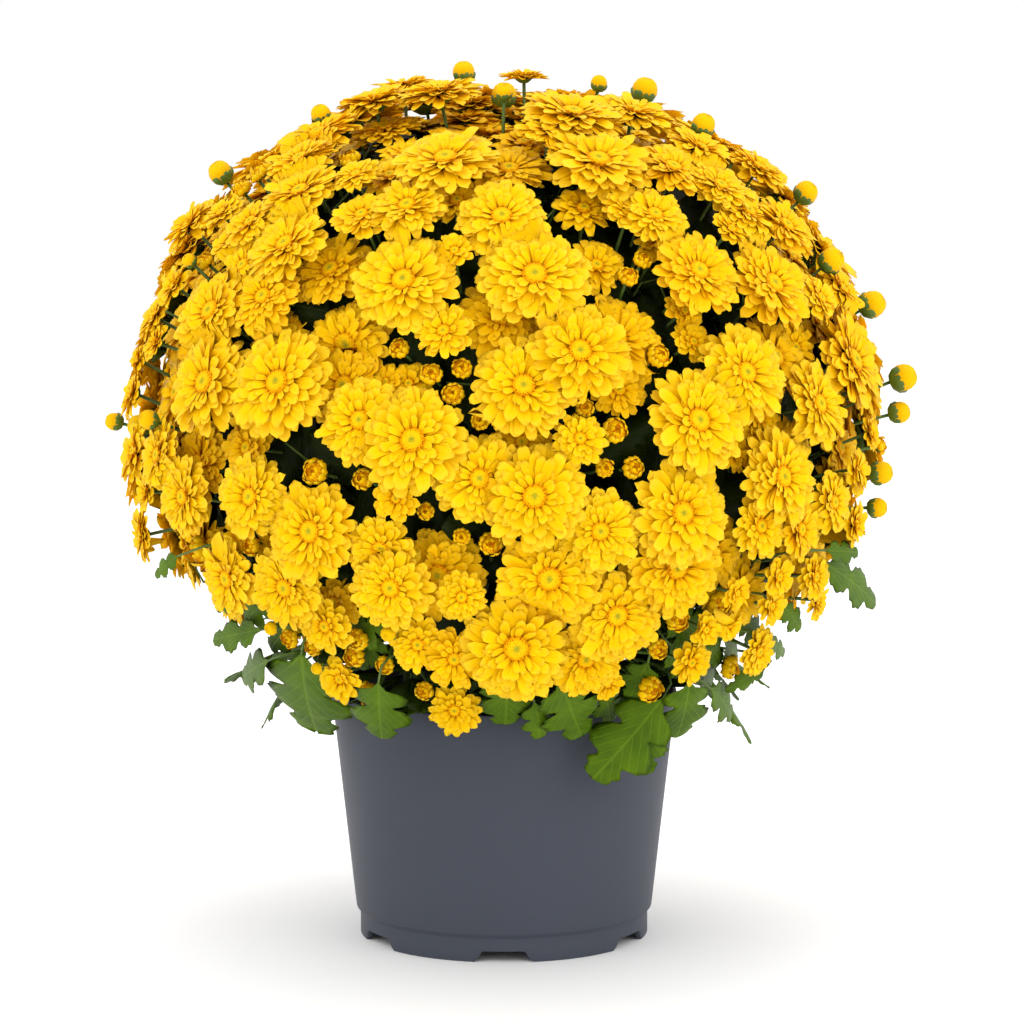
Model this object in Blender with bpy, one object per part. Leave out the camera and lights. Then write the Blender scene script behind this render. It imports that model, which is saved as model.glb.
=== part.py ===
"""Pot chrysanthemum: a dome of yellow blooms on leafy stems, growing in a grey pot of soil.

Metres, +Z up. The origin is on the ground on the pot's axis, and the front faces -Y.
The dome is a rounded, slightly squared ball. Blooms of the front are listed as they
are seen from a point in front of the plant, and a seeded rule fills the other sides.
"""

import itertools
import math
import random

import bmesh
import bpy
import numpy as np
from mathutils.bvhtree import BVHTree

MM = 0.001
GAP = 0.3 * MM
SEED = 21

# Pot
POT_HEIGHT = 135 * MM
RIM_RADIUS = 95 * MM
BASE_RADIUS = 81.6 * MM
FOOT_RADIUS = 79.4 * MM
FOOT_HEIGHT = 13.2 * MM
STEP_HEIGHT = 15.2 * MM
FOOT_WALL = 3 * MM
WALL = 2 * MM
POT_SIDES = 36
NOTCHES = 6
NOTCH_HEIGHT = 6 * MM
NOTCH_TOP = 22 * MM
NOTCH_BOTTOM = 31 * MM
DRAINS = 5
DRAIN_RADIUS = 5 * MM
DRAIN_CIRCLE = 55 * MM

# Soil
SOIL_TOP = 125 * MM
SOIL_RISE = 4 * MM
STEM_HOLE_DEPTH = 14 * MM

# Dome of blooms
DOME = np.array([0.0, 0.0, 0.275])
DOME_WIDE = 0.208
DOME_UP = 0.195
DOME_DOWN = 0.165
DOME_POWER = 2.25
SKIRT_RADIUS = 0.116
TURN_UP = 0.22
MOST_DOWN = -0.35
SINK = 12 * MM
SINK_LOW = 0.3
SINK_FROM = 0.25

# Stems
HEART = np.array([0.0, 0.0, 0.2])
STEM_RADIUS = 3.2 * MM
BRANCH_RADIUS = 2.2 * MM
STALK_RADIUS = 0.9 * MM
HUB_SPREAD = 1.15
CLOSEST_ARMS = 0.13
INNER_STEMS = 4
OUTER_STEMS = 8
INNER_FOOT = 22 * MM
OUTER_FOOT = 56 * MM
FORK_SHARE = 0.6
STUB_LENGTHS = (8 * MM, 14 * MM, 20 * MM, 28 * MM, 36 * MM, 46 * MM)

# Leaves
KNEE_HEIGHT = 168 * MM
LEAF_MIDDLE = 1.8 * MM
FRINGE_LEAVES = 24
TURN_FRONT = -1.4
LONG_LEAF = [(0.24, 0.44), (0.38, 0.24), (0.62, 0.5), (0.76, 0.2)]
WIDE_LEAF = [(0.12, 0.44), (0.32, 0.3), (0.55, 0.5), (0.74, 0.24)]

# Node limits
MOST_SPRAYS = 46

# The front is read from this eye point, on a plane that leans back through the middle.
EYE = np.array([0.0026, -1.762, 0.4076])
LEAN = math.radians(5.67)
PLANE_HEIGHT = 0.2326
READING_SHIFT = -5.0

# Open blooms of the front: across, up and width in millimetres on the reading plane.
FRONT_BLOOMS = [
    (-27, 427, 57), (-48, 401, 44), (4, 395, 50), (57, 426, 58), (30, 443, 36),
    (43, 452, 56), (-50, 467, 36), (-30, 464, 46), (-66, 459, 44), (16, 472, 26),
    (76, 453, 46), (-97, 441, 46), (-107, 427, 42), (-107, 409, 46), (-76, 418, 28),
    (-168, 391, 36), (-150, 397, 28), (-134, 392, 34), (-145, 381, 26), (-138, 368, 36),
    (-115, 380, 48), (-73, 396, 34), (-176, 357, 26), (-156, 343, 52), (-127, 351, 44),
    (-119, 304, 62), (-159, 304, 58), (-74, 283, 48), (-196, 316, 20), (-186, 326, 22),
    (-187, 340, 28), (-199, 298, 28), (-198, 266, 34), (-185, 264, 38), (-134, 241, 46),
    (-101, 222, 56), (-171, 241, 42), (-191, 244, 24), (-194, 220, 30), (-50, 360, 58),
    (22, 363, 60), (-22, 376, 24), (-28, 332, 32), (47, 321, 56), (16, 302, 56),
    (-45, 272, 60), (47, 273, 30), (-8, 251, 50), (22, 241, 58), (-54, 240, 26),
    (112, 283, 58), (112, 365, 52), (153, 358, 54), (138, 309, 54), (178, 292, 48),
    (197, 316, 60), (206, 296, 24), (158, 252, 54), (103, 232, 58), (146, 225, 36),
    (168, 223, 34), (186, 238, 34), (198, 226, 26), (199, 254, 26), (88, 396, 40),
    (98, 422, 44), (124, 412, 40), (145, 422, 38), (139, 398, 42), (160, 390, 42),
    (113, 433, 36), (130, 388, 24), (191, 355, 34), (179, 350, 30), (-147, 196, 42),
    (-115, 191, 46), (-63, 212, 38), (-57, 191, 46), (-93, 170, 32), (-85, 141, 26),
    (-18, 186, 28), (12, 158, 62), (30, 196, 58), (58, 222, 46), (67, 176, 54),
    (50, 152, 44), (-42, 160, 32), (-22, 152, 34), (-22, 124, 30), (100, 202, 54),
    (108, 150, 25), (116, 168, 21), (129, 171, 19), (133, 188, 20), (152, 181, 22),
    (156, 197, 24), (176, 197, 28), (177, 184, 22), (145, 156, 28), (75, 400, 34),
    (62, 138, 18), (206, 276, 20), (-105, 441, 22),
]

# Open blooms that lie deeper, in the shade of the ones before them.
DEEP_BLOOMS = [
    (8, 421, 48), (-60, 443, 40), (-90, 366, 46), (-83, 325, 52), (-83, 302, 48),
    (-163, 259, 46), (-136, 268, 34), (4, 340, 50), (67, 328, 50), (15, 271, 34),
    (68, 300, 32), (76, 313, 26), (104, 343, 24), (109, 326, 24), (165, 323, 32),
    (-88, 183, 32), (-31, 198, 50), (132, 265, 22), (-12, 457, 44), (56, 368, 34),
    (-60, 304, 22), (-47, 303, 26), (85, 215, 26), (-140, 222, 22),
]

# Half-open buds: a ring of short petals round a hollow.
HALF_OPEN = [
    (-140, 411, 14), (-131, 417, 9), (-80, 428, 13), (-160, 371, 12), (-100, 255, 17),
    (-73, 251, 14), (-53, 323, 13), (-38, 233, 11), (-8, 283, 12), (50, 290, 12),
    (67, 278, 16), (61, 257, 12), (77, 257, 14), (-23, 298, 14), (-18, 312, 13),
    (-35, 309, 14), (74, 363, 13), (91, 319, 15), (-114, 163, 13), (-101, 158, 12),
    (-76, 162, 14), (-78, 153, 14), (-165, 211, 18), (-148, 214, 15), (-71, 132, 16),
    (-2, 215, 15), (-18, 219, 11), (-39, 134, 12), (131, 147, 15), (102, 173, 16),
    (91, 157, 13), (87, 135, 17), (82, 372, 12), (213, 269, 11), (-61, 148, 12),
    (-135, 214, 13), (126, 181, 18), (192, 248, 14),
]

# Closed buds, most of them proud of the blooms.
CLOSED_BUDS = [
    (-95, 450, 11), (-150, 418, 13), (-17, 473, 12), (82, 463, 14), (114, 444, 13),
    (170, 407, 13), (184, 370, 14), (206, 346, 15), (223, 306, 15), (221, 287, 12),
    (211, 254, 13), (209, 235, 11), (-167, 370, 8), (-189, 283, 11), (-122, 169, 8),
    (-97, 147, 7), (-58, 166, 9), (57, 467, 9), (5, 462, 9), (-208, 282, 10),
]

# Leaves of the fringe: base across and up, tip across and up, and width.
FRONT_LEAVES = [
    (-128, 168, -160, 163, 17), (-166, 209, -182, 199, 10), (-152, 205, -167, 197, 10),
    (-106, 154, -103, 103, 50), (-118, 152, -141, 140, 22), (-60, 140, -60, 104, 32),
    (6, 142, 8, 111, 30), (36, 140, 50, 104, 34), (92, 130, 56, 84, 38),
    (82, 124, 81, 88, 26), (104, 140, 101, 104, 28), (112, 137, 131, 121, 18),
    (146, 148, 119, 133, 14), (150, 163, 164, 151, 11), (158, 181, 171, 169, 14),
    (180, 205, 218, 183, 21), (178, 212, 199, 210, 13), (22, 128, 27, 106, 18),
]


def unit(v):
    """The vector or rows of vectors v, each divided by its length."""
    return v / np.linalg.norm(v, axis=-1, keepdims=True)


def dome_level(points, deep=0.0):
    """Superellipsoid value of the points: below 1 inside the dome, above 1 outside."""
    p = points - DOME
    flat = np.hypot(p[..., 0], p[..., 1]) / (DOME_WIDE - deep)
    tall = np.where(p[..., 2] > 0, p[..., 2] / (DOME_UP - deep), -p[..., 2] / (DOME_DOWN - deep))
    return flat ** DOME_POWER + tall ** DOME_POWER


def dome_normal(point):
    """Outward normal of the dome's level surface at a point, from its differences."""
    step = 1e-4 * np.eye(3)
    return unit(np.array([dome_level(point + s) - dome_level(point - s) for s in step]))


def seen(across, up, deep=0.0):
    """The point that the eye sees at a place on the reading plane, on the dome or nearest to it.

    Below the dome it is on the upright skirt that hangs round the pot's rim.
    """
    rise = up * MM - PLANE_HEIGHT
    aim = np.array([(across + READING_SHIFT) * MM, rise * math.sin(LEAN),
                    PLANE_HEIGHT + rise * math.cos(LEAN)])
    ray = unit(aim - EYE)
    points = EYE + np.linspace(1.5, 1.85, 1401)[:, None] * ray
    level = dome_level(points, deep)
    skirt = np.hypot(points[:, 0], points[:, 1]) / (SKIRT_RADIUS - deep)
    level = np.where(points[:, 2] < 0.165, np.minimum(level, skirt ** 2), level)
    inside = np.nonzero(level < 1)[0]
    return points[inside[0] if len(inside) else np.argmin(level)]


class Head:
    """One bloom or bud: where it sits, the way it faces, its radius, its depth and its kind."""

    def __init__(self, place, radius, deep, kind, draw):
        self.place = place
        self.radius = radius
        self.deep = deep
        self.kind = kind
        tilt = np.array([draw.uniform(-0.05, 0.05) for _ in range(3)])
        level = np.maximum(dome_normal(place), [-1, -1, MOST_DOWN])
        self.facing = unit(level + [0, 0, TURN_UP] + tilt)
        self.turn = draw.uniform(0, math.tau)
        self.toward = unit(place - HEART)


def front_heads(draw):
    """The listed heads, as real sizes: a width is read larger the nearer it is to the eye."""
    heads = []
    for kind, deep, listed in (("bloom", 0.0, FRONT_BLOOMS), ("bloom", 14 * MM, DEEP_BLOOMS),
                               ("half", 6 * MM, HALF_OPEN), ("bud", -2 * MM, CLOSED_BUDS)):
        for across, up, width in listed:
            place = seen(across, up, deep)
            nearness = np.linalg.norm(place - EYE) / abs(EYE[1])
            heads.append(Head(place, width * MM / 2 * nearness, deep, kind, draw))
    return heads


def dome_point(toward):
    """Where a ray from the dome's middle meets the dome."""
    return DOME + toward / dome_level(DOME + toward) ** (1 / DOME_POWER)


def fill_heads(heads, draw):
    """Blooms, then buds, on the sides that the front list leaves bare, each in free room.

    They sink a little below the dome near the outline that the eye sees, and more
    towards the lower edge. On the front side of that outline they keep further apart.
    """
    for kind, tries, radii, closeness in (
            ("bloom", 900, (29, 28, 27, 25, 23), 0.80),
            ("bloom", 500, (17, 13), 0.88),
            ("half", 150, (7, 6), 1.05),
            ("bud", 100, (6.5,), 1.0)):
        for k in range(tries):
            height = 1 - 1.62 * (k + 0.5) / tries
            angle = k * math.pi * (3 - math.sqrt(5)) + draw.uniform(-0.1, 0.1)
            flat = math.sqrt(1 - height * height)
            toward = np.array([flat * math.cos(angle), flat * math.sin(angle), height])
            place = dome_point(toward)
            outward = dome_normal(place)
            slant = outward @ unit(place - EYE)
            if place[2] < 0.15 or slant < -0.22:
                continue
            sink = SINK * max(0, 1 - 2 * abs(slant)) + SINK_LOW * max(0, SINK_FROM - place[2])
            place = place - sink * outward
            radius = draw.choice(radii) * MM
            room = closeness * (1.1 if slant < 0 else 1.0)
            if all(np.linalg.norm(place - h.place) > room * (radius + h.radius) for h in heads):
                heads.append(Head(place, radius, 0.0, kind, draw))


def petal_rings(head):
    """Rings of a head about its own centre, facing +Z, from the neck up, and its top point.

    A bloom is a ring of pointed petals with a smaller, higher ring inside it on the
    larger blooms, a hollow in the middle and a cone below. A bud has plain sides.
    """
    r = head.radius
    if head.kind == "bloom":
        outer = 7 if r > 15 * MM else 6 if r > 11 * MM else 5
        rings = [(2 * outer, r, 0.03 * r, 0.68 * r, -0.03 * r)]
        if r > 21.5 * MM:
            rings.append((8, 0.60 * r, 0.22 * r, 0.42 * r, 0.17 * r))
        return rings, (0.10 if len(rings) == 2 else 0.24) * r
    if head.kind == "half":
        return [(5, r, 0.25 * r, r, 0.25 * r)], -0.15 * r
    return [(4, r, 0.0, r, 0.0)], 1.1 * r


def neck_point(head):
    """Where a head's stalk joins it, below its centre."""
    below = {"bloom": 0.32, "half": 0.8, "bud": 0.9}[head.kind] * head.radius
    return head.place - below * head.facing


def neck_radius(head):
    """Radius of a stalk where it meets its head."""
    return min(0.25 * head.radius, 2.4 * MM)


def fan(middle, loop, flip=False):
    """Triangles from a point to each side of a closed loop."""
    n = len(loop)
    turn = -1 if flip else 1
    return [(middle, loop[k], loop[(k + 1) % n])[::turn] for k in range(n)]


def zipped(low, high):
    """Triangles between two closed loops that turn the same way, advanced by angle."""
    faces = []
    i = j = 0
    while i < len(low) or j < len(high):
        a, b = low[i % len(low)], high[j % len(high)]
        if j * len(low) >= i * len(high) and i < len(low):
            faces.append((a, low[(i + 1) % len(low)], b))
            i += 1
        else:
            faces.append((a, high[(j + 1) % len(high)], b))
            j += 1
    return faces


def side_axes(facing, turn=0.0):
    """Two axes across a direction, turned about it."""
    first = unit(np.cross(facing, [0.31, 0.17, 0.93] if abs(facing[2]) < 0.9 else [1, 0, 0]))
    second = np.cross(facing, first)
    return (math.cos(turn) * first + math.sin(turn) * second,
            math.cos(turn) * second - math.sin(turn) * first)


def wall_between(a, b, share):
    """Normal of the plane through the plant's heart that parts two heads, towards the second.

    share is where it passes on the way from the first head to the second.
    """
    along = unit(a.toward + share * (b.toward - a.toward))
    across = unit(np.cross(a.toward, b.toward))
    return unit(np.cross(across, along))


def head_offsets(head, near):
    """A head's ring points from its centre, drawn in where they would pass a wall to another.

    The wall lies nearer to the smaller head, and nearer to the deeper one.
    """
    rings, top = petal_rings(head)
    points = []
    for ring, (count, tip, tip_up, notch, notch_up) in enumerate(rings):
        for k in range(count):
            a = math.tau * (k + 0.5 * ring) / count
            reach, up = (tip, tip_up) if k % 2 == 0 else (notch, notch_up)
            points.append((reach * math.cos(a), reach * math.sin(a), up))
    points.append((0, 0, top))
    x, y = side_axes(head.facing, head.turn)
    offsets = np.array(points) @ np.array([x, y, head.facing])
    for other in near:
        lead = np.clip((other.deep - head.deep) / (8 * MM), -2, 2)
        share = np.clip(head.radius / (head.radius + other.radius) + 0.07 * lead, 0.12, 0.88)
        normal = wall_between(head, other, share)
        limit = -0.6 * GAP - (head.place - HEART) @ normal
        reach = offsets @ normal
        scale = np.where(reach > limit, limit / np.maximum(reach, 1e-9), 1.0)
        offsets = offsets * np.clip(scale, 0.02, 1.0)[:, None]
    return [count for count, *_ in rings], offsets


def ring_round(centre, way, radius, sides, guide=None):
    """Points of a flat ring across a direction, the first of them towards the guide."""
    x = side_axes(way)[0] if guide is None else unit(guide - (guide @ way) * way)
    y = np.cross(way, x)
    return [centre + radius * (math.cos(a) * x + math.sin(a) * y)
            for a in (math.tau * k / sides for k in range(sides))]


def hinge(way, other):
    """A direction square to two others, for rings across both that don't twist."""
    across = np.cross(way, other)
    return unit(across) if np.linalg.norm(across) > 0.05 else side_axes(way)[0]


class Growth:
    """A closed mesh of rings joined by flat-sided tubes, which part at hubs."""

    def __init__(self):
        self.points = []
        self.faces = []

    def add(self, points):
        """Adds points, and returns the loop of their numbers."""
        start = len(self.points)
        self.points += list(points)
        return list(range(start, len(self.points)))

    def run(self, loop, ring):
        """Joins a loop to a further ring of points, and returns the new loop."""
        following = self.add(ring)
        self.faces += zipped(loop, following)
        return following

    def close(self, loop, first=False):
        """Closes the last loop of a run, or the first."""
        turn = -1 if first else 1
        self.faces += [(loop[0], loop[k], loop[k + 1])[::turn] for k in range(1, len(loop) - 1)]

    def hub(self, rings):
        """Adds the convex skin between rings that face outwards, and returns their loops."""
        loops = [self.add(ring) for ring in rings]
        points = np.concatenate(rings)
        owner = np.concatenate([[k] * len(ring) for k, ring in enumerate(rings)])
        triples = np.array([t for t in itertools.combinations(range(len(points)), 3)
                            if len(set(owner[list(t)])) > 1])
        corners = points[triples]
        normals = unit(np.cross(corners[:, 1] - corners[:, 0], corners[:, 2] - corners[:, 0]))
        levels = points @ normals.T - (corners[:, 0] * normals).sum(axis=1)
        outward = triples[levels.max(axis=0) < 1e-9]
        inward = triples[levels.min(axis=0) > -1e-9]
        skin = np.concatenate([outward, inward[:, ::-1]]) + loops[0][0]
        self.faces += [tuple(int(k) for k in face) for face in skin]
        if len(skin) != 2 * len(points) - 4 - sum(len(ring) - 2 for ring in rings):
            raise ValueError("the skin of a hub doesn't close")
        return loops

    def solid(self):
        """The mesh with its search tree."""
        return with_tree((np.array(self.points), self.faces))


def hub_reach(ways, radii):
    """How far out the rings of a hub stand, for each to be a flat of their convex skin."""
    return HUB_SPREAD * max(max(radii[i], radii[j]) / math.tan(0.5 * angle_between(ways[i], ways[j]))
                            for i in range(len(ways)) for j in range(i))


def grow_head(growth, loop, head, near, guide):
    """Adds a head over its neck, on from its stalk's last loop or with its neck closed."""
    neck = ring_round(neck_point(head), head.facing, neck_radius(head), 3, guide)
    if loop is None:
        loop = growth.add(neck)
        growth.close(loop, first=True)
    else:
        loop = growth.run(loop, neck)
    counts, offsets = head_offsets(head, near)
    for count in counts:
        first = np.argmax(unit(offsets[:count]) @ guide)
        loop = growth.run(loop, head.place + np.roll(offsets[:count], -first, axis=0))
        offsets = offsets[count:]
    top, = growth.add(head.place + offsets)
    growth.faces += fan(top, loop)


def tube(path, radii, sides):
    """A closed tube of flat sides through the points of a path."""
    path = np.asarray(path, float)
    ways = unit(np.gradient(path, axis=0))
    guide = side_axes(ways[0])[0]
    growth = Growth()
    loop = growth.add(ring_round(path[0], ways[0], radii[0], sides, guide))
    growth.close(loop, first=True)
    for place, way, radius in zip(path[1:], ways[1:], radii[1:]):
        loop = growth.run(loop, ring_round(place, way, radius, sides, guide))
    growth.close(loop)
    return np.array(growth.points), growth.faces


def leaf_axes(base, tip, facing):
    """A blade's length and its axes: along it, across it and out of its upper side."""
    along = unit(tip - base)
    across = unit(np.cross(facing, along))
    return np.linalg.norm(tip - base), along, across, np.cross(along, across)


def grow_leaf(growth, loop, base, tip, width, facing, thick):
    """Adds a lobed blade to its stalk's last loop, thick in the middle and thin at its edge."""
    length, along, across, up = leaf_axes(base, tip, facing)
    right, left, under = growth.run(loop, [base + STALK_RADIUS * v for v in (across, -across, -up)])
    sides = LONG_LEAF if length > 1.1 * width else WIDE_LEAF
    outline = sides + [(1.0, 0.0)] + [(s, -w) for s, w in sides[::-1]]
    edge = growth.add([base + s * length * along + w * width * across
                       - (0.5 * w * w * width + 0.12 * length * s * s) * up for s, w in outline])
    middle = base + 0.42 * length * along
    top, low = growth.add([middle + 0.5 * thick * up, middle - 0.5 * thick * up])
    edge = [right] + edge + [left]
    growth.faces += [(top, b, a) for a, b in zip(edge, edge[1:])] + [(top, right, left)]
    growth.faces += [(low, a, b) for a, b in zip(edge, edge[1:])] + [(low, left, under), (low, under, right)]


class Leaf:
    """One leaf: its blade's base, tip, width and upper side, and its stalk's bends and first way."""

    def __init__(self, base, tip, width, out):
        self.base = base
        self.tip = tip
        self.width = width
        self.facing = unit(out + [0, TURN_FRONT if out[1] < -0.2 else 0, 0.5])
        self.bends = []
        self.turn = None

    def blade(self):
        """The blade by itself, a little thicker, for tests of where it crosses others."""
        growth = Growth()
        way = leaf_axes(self.base, self.tip, self.facing)[1]
        loop = growth.add(ring_round(self.base - MM * way, way, STALK_RADIUS, 3))
        growth.close(loop, first=True)
        grow_leaf(growth, loop, self.base, self.tip, 1.05 * self.width, self.facing, 2 * LEAF_MIDDLE)
        return growth.solid()


def list_leaves(draw):
    """The listed leaves of the front, then others round the sides that the eye doesn't see."""
    leaves = []
    for across, up, far_across, far_up, width in FRONT_LEAVES:
        base, tip = seen(across, up, 4 * MM), seen(far_across, far_up, -4 * MM)
        leaves.append((base, tip, width * MM))
    for k in range(FRINGE_LEAVES):
        angle = math.pi * (-0.04 + 1.08 * (k + 0.5 + draw.uniform(-0.3, 0.3)) / FRINGE_LEAVES)
        out = np.array([math.cos(angle), math.sin(angle), 0])
        side = np.array([-out[1], out[0], 0])
        low = k % 2 == 0
        base = (112 + draw.uniform(-3, 6)) * MM * out + [0, 0, (143 if low else 158) * MM]
        length = draw.uniform(24, 44) * MM
        dip = draw.uniform(0.7, 1.1) if low else draw.uniform(0.2, 0.5)
        swing = draw.uniform(-0.45, 0.45)
        way = math.cos(dip) * (math.cos(swing) * out + math.sin(swing) * side) - [0, 0, math.sin(dip)]
        leaves.append((base, base + length * way, length * draw.uniform(0.65, 0.95)))
    return leaves


def tree_of(solid):
    """Search tree of a mesh's faces, for tests of where meshes cross."""
    points, faces = solid[:2]
    return BVHTree.FromPolygons([tuple(p) for p in points], faces, epsilon=0.0)


def crosses(solid, others):
    """Whether a mesh crosses any of the others, given as (points, faces, tree)."""
    low, high = solid[0].min(0), solid[0].max(0)
    tree = None
    for points, _, other in others:
        if (points.min(0) > high).any() or (points.max(0) < low).any():
            continue
        tree = tree or tree_of(solid)
        if tree.overlap(other):
            return True
    return False


def with_tree(solid):
    """A mesh together with its search tree."""
    return solid[0], solid[1], tree_of(solid)


def neighbours(heads):
    """For each head, the others near enough to meet it."""
    near = {h: [] for h in heads}
    for i, a in enumerate(heads):
        for b in heads[i + 1:]:
            if np.linalg.norm(a.place - b.place) < 1.25 * (a.radius + b.radius) + 4 * MM:
                near[a].append(b)
                near[b].append(a)
    return near


def group_sprays(heads, count):
    """Heads in groups by their direction from the plant's heart, evened out by a few rounds."""
    ways = np.array([h.toward for h in heads])
    turn = math.pi * (3 - math.sqrt(5))
    height = 1 - 1.25 * (np.arange(count) + 0.5) / count
    flat = np.sqrt(1 - height ** 2)
    middles = np.stack([flat * np.cos(turn * np.arange(count)),
                        flat * np.sin(turn * np.arange(count)), height], axis=1)
    for _ in range(12):
        nearest = np.argmax(ways @ middles.T, axis=1)
        for k in range(count):
            if (nearest == k).any():
                middles[k] = unit(ways[nearest == k].sum(axis=0))
    return [[h for h, n in zip(heads, nearest) if n == k] for k in range(count) if (nearest == k).any()]


def make_object(name, points, faces, colour, roughness):
    """A new object with its own plain material."""
    mesh = bpy.data.meshes.new(name)
    mesh.from_pydata([tuple(p) for p in points], [], [tuple(f) for f in faces])
    material = bpy.data.materials.new(name)
    material.use_nodes = True
    shader = material.node_tree.nodes["Principled BSDF"]
    shader.inputs["Base Color"].default_value = (*colour, 1)
    shader.inputs["Roughness"].default_value = roughness
    shader.inputs["Metallic"].default_value = 0
    mesh.materials.append(material)
    made = bpy.data.objects.new(name, mesh)
    bpy.context.scene.collection.objects.link(made)
    return made


def apply_boolean(target, others, operation, solver="EXACT"):
    """Joins or cuts with the other objects, gathered in a collection, and removes them."""
    tools = bpy.data.collections.new("tools")
    bpy.context.scene.collection.children.link(tools)
    for o in others:
        bpy.context.scene.collection.objects.unlink(o)
        tools.objects.link(o)
    modifier = target.modifiers.new("join", "BOOLEAN")
    modifier.operation = operation
    modifier.solver = solver
    modifier.operand_type = "COLLECTION"
    modifier.collection = tools
    depsgraph = bpy.context.evaluated_depsgraph_get()
    mesh = bpy.data.meshes.new_from_object(target.evaluated_get(depsgraph))
    target.modifiers.clear()
    target.data = mesh
    for o in list(tools.objects):
        bpy.data.objects.remove(o)
    bpy.data.collections.remove(tools)


def keep_largest(target):
    """Keeps the largest closed body of a mesh, so sealed hollows and scraps go."""
    bm = bmesh.new()
    bm.from_mesh(target.data)
    bmesh.ops.triangulate(bm, faces=bm.faces)
    left = set(bm.verts)
    islands = []
    while left:
        island = {left.pop()}
        edge_of = list(island)
        while edge_of:
            vert = edge_of.pop()
            for edge in vert.link_edges:
                other = edge.other_vert(vert)
                if other in left:
                    left.discard(other)
                    island.add(other)
                    edge_of.append(other)
        islands.append(island)
    main = max(islands, key=len)
    loose = [v for island in islands if island is not main for v in island]
    bmesh.ops.delete(bm, geom=loose, context="VERTS")
    bmesh.ops.dissolve_limit(bm, angle_limit=math.radians(0.5), verts=bm.verts, edges=bm.edges)
    bmesh.ops.triangulate(bm, faces=bm.faces)
    bm.to_mesh(target.data)
    bm.free()


def turned(profile, sides):
    """Rings of a profile turned about Z. A profile starts and ends on the axis."""
    points = [(0, 0, profile[0][1])]
    loops = []
    for radius, up in profile[1:-1]:
        loops.append(range(len(points), len(points) + sides))
        points += [(radius * math.cos(a), radius * math.sin(a), up)
                   for a in (math.tau * k / sides for k in range(sides))]
    points.append((0, 0, profile[-1][1]))
    faces = fan(0, loops[0], flip=True)
    for low, high in zip(loops, loops[1:]):
        for k in range(sides):
            m = (k + 1) % sides
            faces += [(low[k], low[m], high[m]), (low[k], high[m], high[k])]
    return np.array(points), faces + fan(len(points) - 1, loops[-1])


def inner_wall(height):
    """Radius of the pot's inner wall at a height."""
    slope = (RIM_RADIUS - BASE_RADIUS) / (POT_HEIGHT - STEP_HEIGHT)
    return BASE_RADIUS - WALL + slope * (height - STEP_HEIGHT)


def make_pot():
    """A tapered pot on a foot ring with drain notches, and drain holes in its floor."""
    floor = STEP_HEIGHT + WALL
    profile = [(0, STEP_HEIGHT), (FOOT_RADIUS - FOOT_WALL, STEP_HEIGHT), (FOOT_RADIUS - FOOT_WALL, 0),
               (FOOT_RADIUS, 0), (FOOT_RADIUS, FOOT_HEIGHT), (BASE_RADIUS, STEP_HEIGHT),
               (RIM_RADIUS, POT_HEIGHT), (RIM_RADIUS - WALL, POT_HEIGHT),
               (inner_wall(floor), floor), (0, floor)]
    pot = make_object("pot", *turned(profile, POT_SIDES), (0.088, 0.102, 0.135), 0.5)
    cutters = []
    for k in range(NOTCHES):
        a = math.tau * k / NOTCHES - math.pi / 2
        out = np.array([math.cos(a), math.sin(a), 0])
        side = np.array([-out[1], out[0], 0])
        ring = [(-NOTCH_BOTTOM / 2, -MM), (NOTCH_BOTTOM / 2, -MM), (NOTCH_TOP / 2, NOTCH_HEIGHT),
                (-NOTCH_TOP / 2, NOTCH_HEIGHT)]
        points = [r * out + s * side + [0, 0, z] for r in (FOOT_RADIUS - 12 * MM, FOOT_RADIUS + 9 * MM)
                  for s, z in ring]
        faces = [(0, 1, 2, 3), (7, 6, 5, 4), (0, 4, 5, 1), (1, 5, 6, 2), (2, 6, 7, 3), (3, 7, 4, 0)]
        cutters.append(make_object("notch", points, [f[::-1] for f in faces], (0, 0, 0), 1))
    for k in range(DRAINS):
        a = math.tau * (k + 0.25) / DRAINS
        x, y = DRAIN_CIRCLE * math.cos(a), DRAIN_CIRCLE * math.sin(a)
        drill = tube([(x, y, STEP_HEIGHT - 4 * MM), (x, y, floor + 4 * MM)], [DRAIN_RADIUS] * 2, 6)
        cutters.append(make_object("drill", *drill, (0, 0, 0), 1))
    apply_boolean(pot, cutters, "DIFFERENCE")
    keep_largest(pot)


def make_soil(feet, draw):
    """Soil that fills the pot to below its rim, with a plain hole for each stem."""
    floor = STEP_HEIGHT + WALL + GAP
    sides = POT_SIDES // 2
    profile = [(0, floor), (inner_wall(floor) - GAP, floor), (inner_wall(SOIL_TOP) - GAP, SOIL_TOP),
               (64 * MM, SOIL_TOP + 0.5 * SOIL_RISE), (0, SOIL_TOP + SOIL_RISE)]
    points, faces = turned(profile, sides)
    for k in range(1 + 2 * sides, 1 + 3 * sides):
        points[k] *= (1 + draw.uniform(-0.08, 0.08), 1 + draw.uniform(-0.08, 0.08), 1)
        points[k][2] += draw.uniform(-1.5, 1.5) * MM
    soil = make_object("soil", points, faces, (0.045, 0.03, 0.02), 0.95)
    drills = []
    for foot in feet:
        low = [foot[0], foot[1], SOIL_TOP - STEM_HOLE_DEPTH - GAP]
        high = [foot[0], foot[1], SOIL_TOP + 20 * MM]
        radius = (STEM_RADIUS + GAP) / math.cos(math.pi / 6)
        drills.append(make_object("drill", *tube([low, high], [radius, radius], 6), (0, 0, 0), 1))
    apply_boolean(soil, drills, "DIFFERENCE")
    keep_largest(soil)


def azimuth(point):
    """Angle of a point about the pot's axis."""
    return math.atan2(point[1], point[0])


def split_round(items, count):
    """Items in order of azimuth, cut into runs of nearly equal length."""
    ordered = sorted(items, key=lambda item: azimuth(item[0]))
    cuts = [round(k * len(ordered) / count) for k in range(count + 1)]
    return [ordered[a:b] for a, b in zip(cuts, cuts[1:])]


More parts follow.
